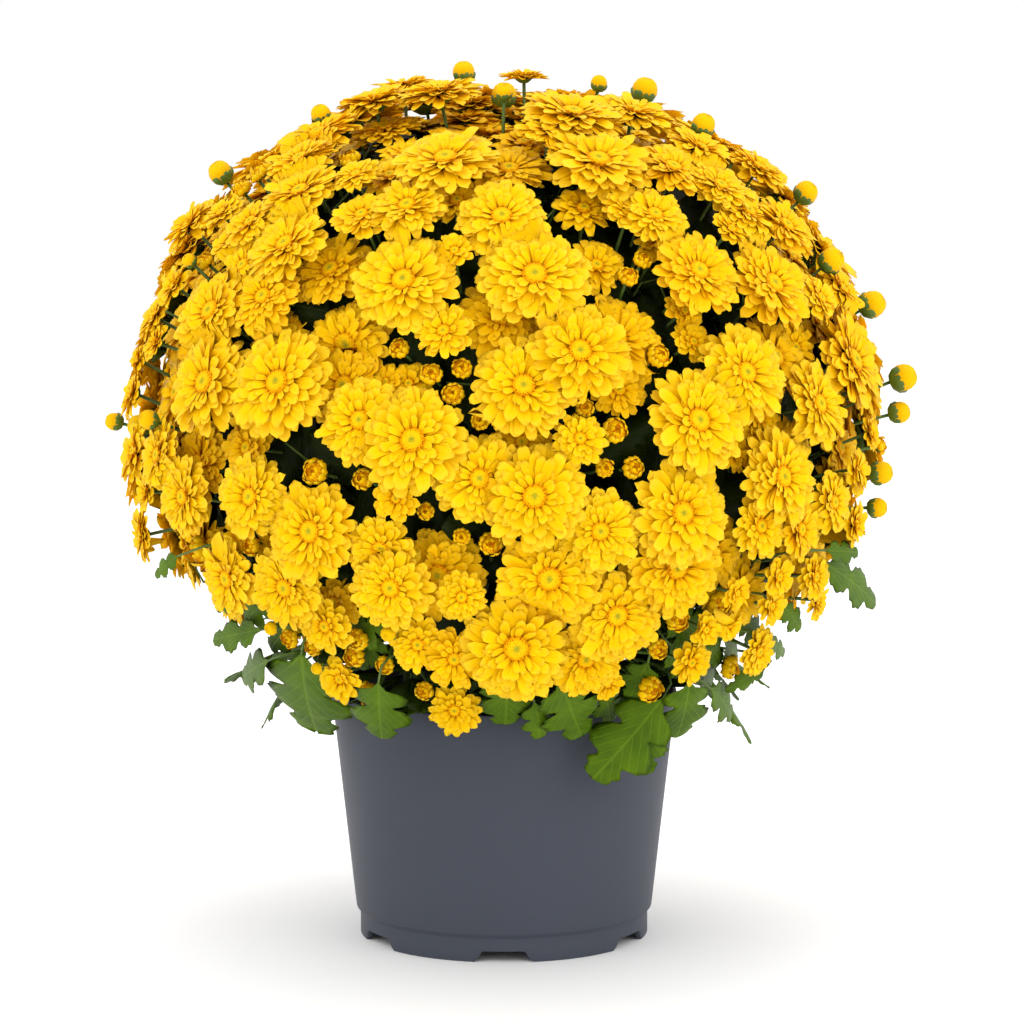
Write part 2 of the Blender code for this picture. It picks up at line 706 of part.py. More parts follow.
def plan_stems(sprays):
    """For each stem, its foot, its top and the forks and sprays that it carries."""
    forks = []
    for spray in sprays:
        middle = np.mean([h.place for h in spray], axis=0)
        forks.append((HEART + FORK_SHARE * (middle - HEART), spray))
    forks.sort(key=lambda fork: -unit(fork[0] - HEART)[2])
    inner = round(len(forks) * 0.27)
    stems = []
    for group, foot_radius, top_share in (
            *((g, INNER_FOOT, 0.42) for g in split_round(forks[:inner], INNER_STEMS)),
            *((g, OUTER_FOOT, 0.66) for g in split_round(forks[inner:], OUTER_STEMS))):
        middle = np.mean([fork for fork, _ in group], axis=0)
        angle = azimuth(middle)
        foot = foot_radius * np.array([math.cos(angle), math.sin(angle)])
        stems.append((foot, HEART + top_share * (middle - HEART), group))
    return stems


def angle_between(a, b):
    """Angle between two directions."""
    return math.acos(max(-1.0, min(1.0, unit(a) @ unit(b))))


def knee_of(foot):
    """Where a stem that stands upright in its hole bends over."""
    return np.array([foot[0], foot[1], KNEE_HEIGHT])


def grow_top(growth, top, way, guide, forks):
    """Adds a stem's branches, each closed just short of its fork, and returns the loop below them."""
    branches = [unit(fork - top) for fork in forks]
    reach = hub_reach([-way] + branches, [STEM_RADIUS] + [BRANCH_RADIUS] * len(branches))
    rings = [ring_round(top - reach * way, -way, 0.9 * STEM_RADIUS, 4, guide)]
    rings += [ring_round(top + reach * w, w, BRANCH_RADIUS, 3) for w in branches]
    loops = growth.hub(rings)
    for loop, w, fork in zip(loops[1:], branches, forks):
        growth.close(growth.run(loop, ring_round(fork - GAP * w, w, 0.9 * BRANCH_RADIUS, 3)))
    return loops[0]


def grow_knee(growth, upper, knee, way, guide, leaves):
    """Adds the leaves that part at a stem's knee, joins the stem above, and returns the loop below."""
    up = np.array([0.0, 0.0, 1.0])
    ways = [-up, way] + [leaf.turn for leaf in leaves]
    radii = [STEM_RADIUS] * 2 + [STALK_RADIUS] * len(leaves)
    reach = hub_reach(ways, radii)
    guides = [guide, guide] + [leaf_axes(leaf.base, leaf.tip, leaf.facing)[2] for leaf in leaves]
    rings = [ring_round(knee + reach * w, w, r, 3 + (k < 2), g)
             for k, (w, r, g) in enumerate(zip(ways, radii, guides))]
    below, above, *loops = growth.hub(rings)
    growth.faces += zipped(above, [upper[0]] + upper[:0:-1])
    for loop, leaf, across in zip(loops, leaves, guides[2:]):
        for bend in leaf.bends:
            after = unit(leaf.turn + unit(leaf.base - bend))
            loop = growth.run(loop, ring_round(bend, after, STALK_RADIUS, 3, across))
        grow_leaf(growth, loop, leaf.base, leaf.tip, leaf.width, leaf.facing, LEAF_MIDDLE)
    return below


def grow_stem(foot, top, forks, leaves=()):
    """A stem from its hole to its knee, where its leaves part, and on to its top, where it branches."""
    knee = knee_of(foot)
    up = np.array([0.0, 0.0, 1.0])
    way = unit(top - knee)
    guide = side_axes(way, 0.4)[0]
    growth = Growth()
    loop = grow_top(growth, top, way, guide, forks)
    if leaves:
        loop = grow_knee(growth, loop, knee, way, guide, leaves)
    else:
        loop = growth.run(loop, ring_round(knee, -unit(up + way), STEM_RADIUS, 4, guide))
    start = np.array([foot[0], foot[1], SOIL_TOP - STEM_HOLE_DEPTH])
    growth.close(growth.run(loop, ring_round(start, -up, STEM_RADIUS, 4, guide)))
    return growth.solid()


def fit_leaf(wanted, feet, carried, stalks, blades, obstacles):
    """The first leaf, stem and stalk that clear all else, as the leaf is moved out and made smaller."""
    base, tip, width = wanted
    out = unit(base * [1, 1, 0])
    nearest = sorted(range(len(feet)), key=lambda n: np.linalg.norm(knee_of(feet[n]) - base))[:3]
    for scale, shift in ((1, 0), (1, 4), (1, 8), (0.85, 2), (0.85, 8), (0.7, 3), (0.7, 10), (0.55, 6)):
        start = base + shift * MM * out
        leaf = Leaf(start, start + scale * (tip - base), scale * width, out)
        blade = leaf.blade()
        if crosses(blade, obstacles + blades + stalks):
            continue
        for n in nearest:
            knee = knee_of(feet[n])
            ways = [other.turn for other in carried[n]]
            for bends in detours(knee, start):
                turn = unit((bends + [start])[0] - knee)
                if not -0.85 < turn[2] < 0.4 or turn @ out < 0:
                    continue
                if any(angle_between(turn, w) < CLOSEST_ARMS for w in ways):
                    continue
                short = [knee + 9 * MM * turn] + bends + [start - 1.5 * MM * unit(tip - base)]
                if crosses(tube(short, [STALK_RADIUS + 0.5 * MM] * len(short), 3), obstacles + blades):
                    continue
                beyond = [knee + 13 * MM * turn] + bends + [start]
                stalk = with_tree(tube(beyond, [STALK_RADIUS + 0.2 * MM] * len(beyond), 3))
                if crosses(stalk, stalks):
                    continue
                leaf.bends = bends
                leaf.turn = turn
                return leaf, n, stalk, blade
    return None


def place_leaves(wanted, feet, obstacles):
    """Gives each leaf to a stem near it. A leaf with no room is left out."""
    carried = [[] for _ in feet]
    stalks = []
    blades = []
    for leaf in wanted:
        fitted = fit_leaf(leaf, feet, carried, stalks, blades, obstacles)
        if fitted:
            leaf, n, stalk, blade = fitted
            carried[n].append(leaf)
            stalks.append(stalk)
            blades.append(blade)
    return carried


def detours(start, end):
    """Ways from start to end: straight, then with one bend further and further aside."""
    along = unit(end - start)
    length = np.linalg.norm(end - start)
    x, y = side_axes(along)
    yield []
    for aside in (4 * MM, 8 * MM, 13 * MM, 20 * MM):
        for share in (0.5, 0.72, 0.3):
            for k in range(8):
                a = math.tau * k / 8
                yield [start + share * length * along + aside * (math.cos(a) * x + math.sin(a) * y)]


def stalk_ways(centre, way, spray, others):
    """Each head's way from the hub, clear of all else, as (head, its first direction, its bends)."""
    ways = [-way]
    rods = []
    found = []
    for head in sorted(spray, key=lambda h: -h.radius):
        neck = neck_point(head)
        for bends in detours(centre, neck):
            turn = unit((bends + [neck])[0] - centre)
            if min(angle_between(turn, w) for w in ways) < CLOSEST_ARMS:
                continue
            short = [centre + 3 * MM * turn] + bends + [neck - 0.6 * MM * head.facing]
            if crosses(tube(short, [STALK_RADIUS + 0.4 * MM] * len(short), 3), others(head)):
                continue
            beyond = [centre + 12 * MM * turn] + bends + [neck]
            rod = with_tree(tube(beyond, [STALK_RADIUS] * len(beyond), 3))
            if crosses(rod, rods):
                continue
            rods.append(rod)
            ways.append(turn)
            found.append((head, turn, bends))
            break
    return found


def grow_spray(root, way, spray, near, others):
    """Heads on stalks that part at a hub above the root. A head with no clear way is left out."""
    best = None
    for length in STUB_LENGTHS:
        centre = root + length * way
        found = stalk_ways(centre, way, spray, others)
        radii = [BRANCH_RADIUS] + [STALK_RADIUS] * len(found)
        reach = hub_reach([-way] + [turn for _, turn, _ in found], radii)
        if reach < length - MM and (best is None or len(found) > len(best[-1])):
            best = (centre, reach, found)
            if len(found) == len(spray):
                break
    centre, reach, found = best
    growth = Growth()
    first = side_axes(way, 0.5)[0]
    guides = []
    for head, turn, bends in found:
        last = unit(neck_point(head) - bends[-1]) if bends else turn
        guides.append(hinge(last, head.facing))
    rings = [ring_round(centre - reach * way, -way, BRANCH_RADIUS, 3, first)]
    rings += [ring_round(centre + reach * turn, turn, STALK_RADIUS, 3, guide)
              for (_, turn, _), guide in zip(found, guides)]
    below, *loops = growth.hub(rings)
    growth.close(growth.run(below, ring_round(root, -way, BRANCH_RADIUS, 3, first)))
    for loop, guide, (head, turn, bends) in zip(loops, guides, found):
        for bend in bends:
            after = unit(turn + unit(neck_point(head) - bend))
            loop = growth.run(loop, ring_round(bend, after, STALK_RADIUS, 3, guide))
        grow_head(growth, loop, head, near[head], guide)
    return growth.solid()


def bare_head(head, near):
    """A head by itself, closed at its neck."""
    growth = Growth()
    grow_head(growth, None, head, near, side_axes(head.facing)[0])
    return growth.solid()


def main():
    for old in list(bpy.data.objects):
        bpy.data.objects.remove(old)
    draw = random.Random(SEED)
    heads = front_heads(draw)
    fill_heads(heads, draw)
    near = neighbours(heads)
    stems = plan_stems(group_sprays(heads, MOST_SPRAYS))
    bare = {head: bare_head(head, near[head]) for head in heads}
    pot_form = with_tree(tube([(0, 0, 0), (0, 0, POT_HEIGHT)], [RIM_RADIUS] * 2, 42))
    green = [grow_stem(foot, top, [fork for fork, _ in group]) for foot, top, group in stems]
    yellow = []
    for _, top, group in stems:
        for fork, spray in group:
            def others(head):
                return [s for h, s in bare.items() if h is not head] + green + [pot_form] + yellow
            yellow.append(grow_spray(fork, unit(fork - top), spray, near, others))
    feet = [foot for foot, _, _ in stems]
    carried = place_leaves(list_leaves(draw), feet[INNER_STEMS:], yellow + green + [pot_form])
    for n, solid in enumerate(yellow):
        make_object(f"flower_spray_{n + 1:02d}", *solid[:2], (0.95, 0.60, 0.02), 0.6)
    for n, (foot, top, group) in enumerate(stems):
        leaves = carried[n - INNER_STEMS] if n >= INNER_STEMS else ()
        solid = grow_stem(foot, top, [fork for fork, _ in group], leaves)
        make_object(f"leafy_stem_{n + 1:02d}", *solid[:2], (0.12, 0.22, 0.05), 0.6)
    make_pot()
    make_soil(feet, draw)


main()
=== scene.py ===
"""Pot chrysanthemum: a dome of yellow blooms on leafy stems, growing in a grey pot of soil.

Metres, +Z up. The origin is on the ground on the pot's axis, and the front faces -Y.
Every shape is a numpy grid closed into a thin solid. The blooms are placed by the same
list and the same seeded rule as the solids that they stand for.
"""

import math
import random

import bpy
import numpy as np
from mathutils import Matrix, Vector


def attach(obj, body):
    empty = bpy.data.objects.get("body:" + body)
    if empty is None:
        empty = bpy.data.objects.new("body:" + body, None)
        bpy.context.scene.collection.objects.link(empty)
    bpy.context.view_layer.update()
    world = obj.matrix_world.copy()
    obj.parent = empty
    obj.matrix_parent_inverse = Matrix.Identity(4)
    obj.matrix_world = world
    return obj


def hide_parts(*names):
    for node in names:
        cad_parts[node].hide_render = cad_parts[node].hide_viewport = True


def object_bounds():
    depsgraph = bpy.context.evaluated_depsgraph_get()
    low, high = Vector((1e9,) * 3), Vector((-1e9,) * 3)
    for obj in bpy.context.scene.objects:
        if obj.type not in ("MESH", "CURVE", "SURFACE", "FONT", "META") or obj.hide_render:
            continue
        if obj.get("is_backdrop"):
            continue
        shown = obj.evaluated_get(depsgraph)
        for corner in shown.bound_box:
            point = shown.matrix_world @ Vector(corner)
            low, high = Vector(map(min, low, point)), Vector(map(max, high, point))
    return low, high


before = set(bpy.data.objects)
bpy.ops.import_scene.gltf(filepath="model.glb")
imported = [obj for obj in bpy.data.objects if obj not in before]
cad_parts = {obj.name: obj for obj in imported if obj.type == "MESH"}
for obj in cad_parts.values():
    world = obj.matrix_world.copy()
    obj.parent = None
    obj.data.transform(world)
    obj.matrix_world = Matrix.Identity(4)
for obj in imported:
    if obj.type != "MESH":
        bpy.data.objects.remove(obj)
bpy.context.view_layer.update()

# Camera, light and floor
# The view is a little above the blooms' lower edge, from in front. Three soft boxes and
# a pale room light the plant, and it stands on a plain pale floor.
MM = 0.001
CAMERA_AT = Vector((0.0044, -1.762, 0.4076))
CAMERA_AIM = Vector((0.0044, 0.0, 0.2326))
LENS = 113.6
ROOM_LIGHT = 1.36
SEEN_LIGHT = 1.0
SOFT_BOXES = (("key_light", (-1.5, -1.9, 2.3), 1.3, 9.5), ("fill_light", (1.9, -1.6, 1.0), 1.6, 8.5),
              ("top_light", (0.3, 0.5, 2.6), 1.6, 8.0))
FLOOR_RADIUS = 6.0
FLOOR_SIDES = 96


def aimed(thing, place, target):
    """Puts a camera or light at a place, looking at a target."""
    thing.location = place
    thing.rotation_euler = (Vector(target) - Vector(place)).to_track_quat("-Z", "Y").to_euler()
    bpy.context.scene.collection.objects.link(thing)


lens = bpy.data.cameras.new("camera")
lens.lens = LENS
lens.sensor_width = 36
camera = bpy.data.objects.new("camera", lens)
aimed(camera, CAMERA_AT, CAMERA_AIM)
bpy.context.scene.camera = camera

for name, place, size, power in SOFT_BOXES:
    box_light = bpy.data.lights.new(name, "AREA")
    box_light.size = size
    box_light.energy = power
    aimed(bpy.data.objects.new(name, box_light), place, (0, 0, 0.25))

room = bpy.data.worlds.new("room")
bpy.context.scene.world = room
room.use_nodes = True
tree = room.node_tree
tree.nodes.clear()
sight = tree.nodes.new("ShaderNodeLightPath")
either = tree.nodes.new("ShaderNodeMixShader")
out = tree.nodes.new("ShaderNodeOutputWorld")
tree.links.new(sight.outputs["Is Camera Ray"], either.inputs["Fac"])
for side, strength in ((1, ROOM_LIGHT), (2, SEEN_LIGHT)):
    white = tree.nodes.new("ShaderNodeBackground")
    white.inputs["Color"].default_value = (1, 1, 1, 1)
    white.inputs["Strength"].default_value = strength
    tree.links.new(white.outputs[0], either.inputs[side])
tree.links.new(either.outputs[0], out.inputs["Surface"])
bpy.context.scene.view_settings.view_transform = "Standard"


def plain_finish(name, colour, rough, specular=0.5, glint=(1, 1, 1)):
    """A material of one colour and roughness, and its highlights' strength and tint."""
    finish = bpy.data.materials.new(name)
    finish.use_nodes = True
    shader = finish.node_tree.nodes["Principled BSDF"]
    shader.inputs["Base Color"].default_value = (*colour, 1)
    shader.inputs["Roughness"].default_value = rough
    shader.inputs["Specular IOR Level"].default_value = specular
    shader.inputs["Specular Tint"].default_value = (*glint, 1)
    return finish


turn = np.linspace(0, math.tau, FLOOR_SIDES, endpoint=False)
disc = np.stack([FLOOR_RADIUS * np.cos(turn), FLOOR_RADIUS * np.sin(turn), 0 * turn], axis=1)
ground = bpy.data.meshes.new("floor")
ground.from_pydata(disc.tolist(), [], [list(range(FLOOR_SIDES))])
floor = bpy.data.objects.new("floor", ground)
bpy.context.scene.collection.objects.link(floor)
ground.materials.append(plain_finish("floor_paper", (0.97, 0.97, 0.97), 0.9))
floor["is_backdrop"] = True

# Pot
# A grower's pot of injection-moulded plastic, satin slate grey. A foot ring with six
# drain notches stands in below the wall, and the floor has five drain holes.
POT_HEIGHT = 135 * MM
RIM_RADIUS = 95 * MM
BASE_RADIUS = 81.6 * MM
FOOT_RADIUS = 79.4 * MM
FOOT_HEIGHT = 13.2 * MM
STEP_HEIGHT = 15.2 * MM
FOOT_WALL = 3 * MM
WALL = 2 * MM
NOTCHES = 6
NOTCH_HEIGHT = 6 * MM
NOTCH_TOP = 22 * MM
NOTCH_BOTTOM = 31 * MM
LIFTED = 7 * MM
DRAINS = 5
DRAIN_RADIUS = 5 * MM
DRAIN_CIRCLE = 55 * MM
DRAIN_SIDES = 24
POT_SIDES = 216
CORNER = 0.9 * MM
HUB = 0.4 * MM
CREASE = math.radians(38)


def tube_faces(rows, sides):
    """Faces of a tube whose rows of points each go round it: its wall, then its two ends."""
    j, k = np.meshgrid(np.arange(rows - 1), np.arange(sides), indexing="ij")
    right = (k + 1) % sides
    wall = np.stack([j * sides + k, (j + 1) * sides + k, (j + 1) * sides + right, j * sides + right], axis=-1)
    ends = np.stack([np.arange(sides), rows * sides - 1 - np.arange(sides)])
    return [wall.reshape(-1, 4), ends]


class Gathered:
    """The surfaces of one piece: points with a place on the surface, a tone and an edge mark each."""

    def __init__(self):
        self.points, self.places, self.tones, self.marks = [], [], [], []
        self.corners, self.sizes, self.fills = [], [], []
        self.count = 0

    def add(self, points, rows, places=None, tones=(0, 0, 0), marks=0, fill=0):
        """Copies of one tube. points is (copies, n, 3); places (n, 2) and marks (n) are the same for all."""
        copies, n = points.shape[:2]
        self.points.append(points.reshape(-1, 3))
        places = np.zeros((n, 2)) if places is None else places
        self.places.append(np.broadcast_to(places, (copies, n, 2)).reshape(-1, 2))
        self.tones.append(np.broadcast_to(tones, (copies, n, 3)).reshape(-1, 3))
        self.marks.append(np.broadcast_to(marks, (copies, n)).reshape(-1))
        shift = self.count + n * np.arange(copies)[:, None, None]
        for block in tube_faces(rows, n // rows):
            self.corners.append((block[None] + shift).reshape(-1))
            many = copies * len(block)
            self.sizes.append(np.full(many, block.shape[1]))
            self.fills.append(np.full(many, fill))
        self.count += copies * n

    def piece(self, name, finishes, nodes, slot):
        """The finished piece: one mesh that rides on the root and stands for the nodes. The slot is not used.
        """
        mesh = bpy.data.meshes.new(name)
        corners = np.concatenate(self.corners).astype(np.int32)
        sizes = np.concatenate(self.sizes).astype(np.int32)
        mesh.vertices.add(self.count)
        mesh.vertices.foreach_set("co", np.concatenate(self.points).astype(np.float32).ravel())
        mesh.loops.add(len(corners))
        mesh.loops.foreach_set("vertex_index", corners)
        mesh.polygons.add(len(sizes))
        mesh.polygons.foreach_set("loop_start", np.cumsum(sizes).astype(np.int32) - sizes)
        mesh.polygons.foreach_set("material_index", np.concatenate(self.fills).astype(np.int32))
        mesh.polygons.foreach_set("use_smooth", np.ones(len(sizes), bool))
        for finish in finishes:
            mesh.materials.append(finish)
        flat = mesh.uv_layers.new(name="place")
        flat.data.foreach_set("uv", np.concatenate(self.places)[corners].astype(np.float32).ravel())
        tones = np.concatenate(self.tones)
        colour = mesh.attributes.new("tone", "FLOAT_COLOR", "POINT")
        colour.data.foreach_set("color", np.c_[tones, np.ones(len(tones))].astype(np.float32).ravel())
        mesh.update(calc_edges=True)
        marks = np.concatenate(self.marks)
        ends = np.empty(2 * len(mesh.edges), np.int32)
        mesh.edges.foreach_get("vertices", ends)
        ends = marks[ends.reshape(-1, 2)]
        sharp = mesh.attributes.new("sharp_edge", "BOOLEAN", "EDGE")
        sharp.data.foreach_set("value", (ends[:, 0] > 0) & (ends[:, 0] == ends[:, 1]))
        thing = bpy.data.objects.new(name, mesh)
        bpy.context.scene.collection.objects.link(thing)
        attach(thing, "root")
        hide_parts(*nodes)
        return thing


def eased(x, low, high):
    """0 below low, 1 above high, and a smooth S between them."""
    t = np.clip((x - low) / (high - low), 0, 1)
    return t * t * (3 - 2 * t)


def turned(profile, sides):
    """A profile of radius and height carried round the axis, as rows of points."""
    angle = np.linspace(0, math.tau, sides, endpoint=False)
    r, z = np.asarray(profile, float).T
    return np.stack([r[:, None] * np.cos(angle), r[:, None] * np.sin(angle),
                     np.broadcast_to(z[:, None], (len(r), sides))], axis=-1)


def rounded(profile, radius, steps=2):
    """The profile with each inner corner cut to a short arc, drawn as a quadratic curve."""
    p = np.asarray(profile, float)
    back = p[:-2] - p[1:-1]
    on = p[2:] - p[1:-1]
    reach = np.minimum(radius, 0.4 * np.minimum(np.hypot(*back.T), np.hypot(*on.T)))[:, None]
    a = p[1:-1] + back / np.hypot(*back.T)[:, None] * reach
    b = p[1:-1] + on / np.hypot(*on.T)[:, None] * reach
    t = np.linspace(0, 1, steps + 1)[None, :, None]
    arcs = (1 - t) ** 2 * a[:, None] + 2 * t * (1 - t) * p[1:-1, None] + t * t * b[:, None]
    return np.concatenate([p[:1], arcs.reshape(-1, 2), p[-1:]])


pot_floor = STEP_HEIGHT + WALL
inner_base = BASE_RADIUS - WALL + 0.2 * MM
foot_inside = FOOT_RADIUS - FOOT_WALL
wall_rows = [(RIM_RADIUS - (RIM_RADIUS - BASE_RADIUS) * (POT_HEIGHT - z) / (POT_HEIGHT - STEP_HEIGHT), z)
             for z in np.linspace(POT_HEIGHT, STEP_HEIGHT, 10)]
pot_profile = rounded([
    (HUB, pot_floor), (30 * MM, pot_floor), (DRAIN_CIRCLE, pot_floor), (inner_base, pot_floor),
    (RIM_RADIUS - WALL, POT_HEIGHT), *wall_rows,
    (FOOT_RADIUS, FOOT_HEIGHT), (FOOT_RADIUS, LIFTED), (FOOT_RADIUS, 0),
    (foot_inside, 0), (foot_inside, LIFTED), (foot_inside, STEP_HEIGHT), (HUB, STEP_HEIGHT)], CORNER)
pot_points = turned(pot_profile, POT_SIDES)
# A notch lifts the foot ring's lowest 7 mm: fully inside its top width, and not outside its bottom width.
pot_turn = np.linspace(0, math.tau, POT_SIDES, endpoint=False)
off_notch = (pot_turn + math.pi / 2 + math.pi / NOTCHES) % (math.tau / NOTCHES) - math.pi / NOTCHES
lift = NOTCH_HEIGHT * eased(-np.abs(off_notch) * FOOT_RADIUS, -NOTCH_BOTTOM / 2, -NOTCH_TOP / 2)
pot_up = pot_points[..., 2]
pot_points[..., 2] = np.where(pot_up < LIFTED - 0.1 * MM, lift + pot_up * (1 - lift / LIFTED), pot_up)


def wired(finish, steps, feeds):
    """Adds nodes to a material by name, type, settings and links, feeds its shader and returns them.

    A setting that starts with a dot is the node's own, and the others are its sockets'.
    """
    nodes, links = finish.node_tree.nodes, finish.node_tree.links
    made = {}
    for name, kind, values, sources in steps:
        node = made[name] = nodes.new("ShaderNode" + kind)
        node.name = name
        for key, value in values.items():
            if str(key).startswith("."):
                setattr(node, key[1:], value)
            else:
                node.inputs[key].default_value = value
        for key, (source, output) in sources.items():
            links.new(made[source].outputs[output], node.inputs[key])
    for socket, (source, output) in feeds.items():
        links.new(made[source].outputs[output], nodes["Principled BSDF"].inputs[socket])
    return made


def ranged(name, source, low, high, to_low=0.0, to_high=1.0, kind="LINEAR"):
    """A step that carries a node's output from one range of values to another."""
    ends = {"From Min": low, "From Max": high, "To Min": to_low, "To Max": to_high}
    return name, "MapRange", {".interpolation_type": kind, **ends}, {"Value": source}


# The places of a mix node's two colours among its inputs, and of its colour among its outputs.
MIX_LOW, MIX_HIGH, MIX_OUT = 6, 7, 2


def mixed(name, by, low, high):
    """A step that mixes two colours by a node's output. A colour of two values is an output too."""
    ends = {MIX_LOW: low, MIX_HIGH: high}
    given = {key: (*end, 1) for key, end in ends.items() if len(end) == 3}
    taken = {key: end for key, end in ends.items() if len(end) == 2}
    return name, "Mix", {".data_type": "RGBA", **given}, {0: by, **taken}


def noise(name, scale, detail):
    """A step of noise over the piece's object coordinates."""
    return name, "TexNoise", {"Scale": scale, "Detail": detail}, {"Vector": ("spot", "Object")}


def relief(strength, distance, height, inverted=False):
    """A step that turns a node's output into small bumps."""
    values = {"Strength": strength, "Distance": distance, ".invert": inverted}
    return "bump", "Bump", values, {"Height": height}


pot_finish = plain_finish("slate_plastic", (0.057, 0.064, 0.085), 0.5, 0.14)
wired(pot_finish, [
    ("spot", "TexCoord", {}, {}),
    noise("cloud", 9.0, 3.0),
    mixed("tint", ("cloud", "Fac"), (0.050, 0.056, 0.073), (0.060, 0.067, 0.086)),
    noise("grain", 900.0, 2.0),
    ranged("gloss", ("cloud", "Fac"), 0.3, 0.7, 0.44, 0.56),
    relief(0.06, 0.0003, ("grain", "Fac")),
], {"Base Color": ("tint", MIX_OUT), "Roughness": ("gloss", 0), "Normal": ("bump", 0)})

pot = Gathered()
pot.add(pot_points.reshape(1, -1, 3), len(pot_profile))
pot = pot.piece("plant_pot", [pot_finish], ["pot"], "pot")
drills = Gathered()
drill_turn = np.linspace(0, math.tau, DRAIN_SIDES, endpoint=False)
for k in range(DRAINS):
    a = math.tau * (k + 0.25) / DRAINS
    ring = np.stack([DRAIN_CIRCLE * math.cos(a) + DRAIN_RADIUS * np.cos(drill_turn),
                     DRAIN_CIRCLE * math.sin(a) + DRAIN_RADIUS * np.sin(drill_turn), 0 * drill_turn], axis=1)
    ends = np.stack([ring + [0, 0, pot_floor + 3 * MM], ring + [0, 0, STEP_HEIGHT - 3 * MM]])
    drills.add(ends.reshape(1, -1, 3), 2)
cutter_mesh = bpy.data.meshes.new("drills")
corners = np.concatenate(drills.corners)
sizes = np.concatenate(drills.sizes)
starts = np.cumsum(sizes) - sizes
cutter_mesh.from_pydata(np.concatenate(drills.points).tolist(), [],
                        [corners[s:s + n].tolist() for s, n in zip(starts, sizes)])
cutter = bpy.data.objects.new("drills", cutter_mesh)
bpy.context.scene.collection.objects.link(cutter)
cut = pot.modifiers.new("drain_holes", "BOOLEAN")
cut.operation = "DIFFERENCE"
cut.object = cutter
cut.solver = "EXACT"
drilled = bpy.data.meshes.new_from_object(pot.evaluated_get(bpy.context.evaluated_depsgraph_get()))
pot.modifiers.clear()
pot.data = drilled
bpy.data.objects.remove(cutter)
drilled.polygons.foreach_set("use_smooth", np.ones(len(drilled.polygons), bool))
drilled.set_sharp_from_angle(angle=CREASE)

# Soil
# Dark potting soil of peat and bark, heaped a little to the middle, with crumbs on top.
SOIL_TOP = 125 * MM
SOIL_RISE = 4 * MM
SOIL_SIDES = 120
SOIL_GAP = 0.3 * MM
CORE = 1 * MM
CRUMBS = 420
CRUMB_SIDES = 6
CRUMB_RINGS = ((0.35, 0.85), (0.95, 0.35), (0.9, -0.4))
SOIL_SEED = 5
soil_draw = np.random.default_rng(SOIL_SEED)


def waves(x, y, size, seed):
    """A smooth height from -1 to 1: the mean of eight sine waves of about one size in random directions."""
    draw = np.random.default_rng(seed)
    total = 0
    for _ in range(8):
        a, phase, long = draw.uniform(0, math.tau), draw.uniform(0, math.tau), size * draw.uniform(0.6, 1.6)
        total = total + np.sin((x * math.cos(a) + y * math.sin(a)) * math.tau / long + phase)
    return total / 8


def pot_inner(z):
    """The pot's inner radius at a height."""
    return inner_base + (RIM_RADIUS - WALL - inner_base) * (z - pot_floor) / (POT_HEIGHT - pot_floor)


top_radii = np.linspace(pot_inner(SOIL_TOP) - SOIL_GAP, CORE, 30)
soil_low = pot_floor + SOIL_GAP
soil_profile = [(r, SOIL_TOP) for r in top_radii[::-1]]
soil_profile += [(pot_inner(soil_low) - SOIL_GAP, soil_low), (CORE, soil_low)]
soil_points = turned(soil_profile, SOIL_SIDES)
x, y, z = np.moveaxis(soil_points, -1, 0)
share = np.hypot(x, y) / top_radii[0]
rough = 1.6 * waves(x, y, 14 * MM, 1)
rough += 1.2 * waves(x, y, 5 * MM, 2)
heap = SOIL_RISE * (1 - share ** 2) + rough * MM * eased(-share, -0.99, -0.9)
soil_points[..., 2] += np.where(z > 0.1, heap, 0)
soil = Gathered()
soil.add(soil_points.reshape(1, -1, 3), len(soil_profile))
# A crumb is a ball of six sides and three rings, squashed and pushed out of round.
crumb_turn = np.arange(CRUMB_SIDES) * math.tau / CRUMB_SIDES
crumb = np.stack([np.stack([w * np.cos(crumb_turn), w * np.sin(crumb_turn), 0 * crumb_turn + up], axis=1)
                  for w, up in CRUMB_RINGS]).reshape(-1, 3)
radius = (pot_inner(SOIL_TOP) - 4 * MM) * np.sqrt(soil_draw.uniform(0, 1, CRUMBS))
angle = soil_draw.uniform(0, math.tau, CRUMBS)
at = np.stack([radius * np.cos(angle), radius * np.sin(angle),
               SOIL_TOP + SOIL_RISE * (1 - (radius / top_radii[0]) ** 2)], axis=1)
size = soil_draw.uniform(0.8, 2.6, (CRUMBS, 1, 1)) * MM * soil_draw.uniform(0.6, 1.2, (CRUMBS, 1, 3))
lumps = at[:, None] + crumb[None] * size * soil_draw.uniform(0.75, 1.25, (CRUMBS, len(crumb), 1))
soil.add(lumps, len(CRUMB_RINGS))
soil_finish = plain_finish("potting_soil", (0.03, 0.02, 0.013), 0.95)
wired(soil_finish, [
    ("spot", "TexCoord", {}, {}),
    ("crumb", "TexVoronoi", {"Scale": 260.0}, {"Vector": ("spot", "Object")}),
    noise("fibre", 420.0, 4.0),
    mixed("tint", ("fibre", "Fac"), (0.012, 0.008, 0.005), (0.06, 0.04, 0.025)),
    relief(0.7, 0.001, ("crumb", "Distance")),
], {"Base Color": ("tint", MIX_OUT), "Normal": ("bump", 0)})
soil.piece("potting_soil", [soil_finish], ["soil"], "soil")

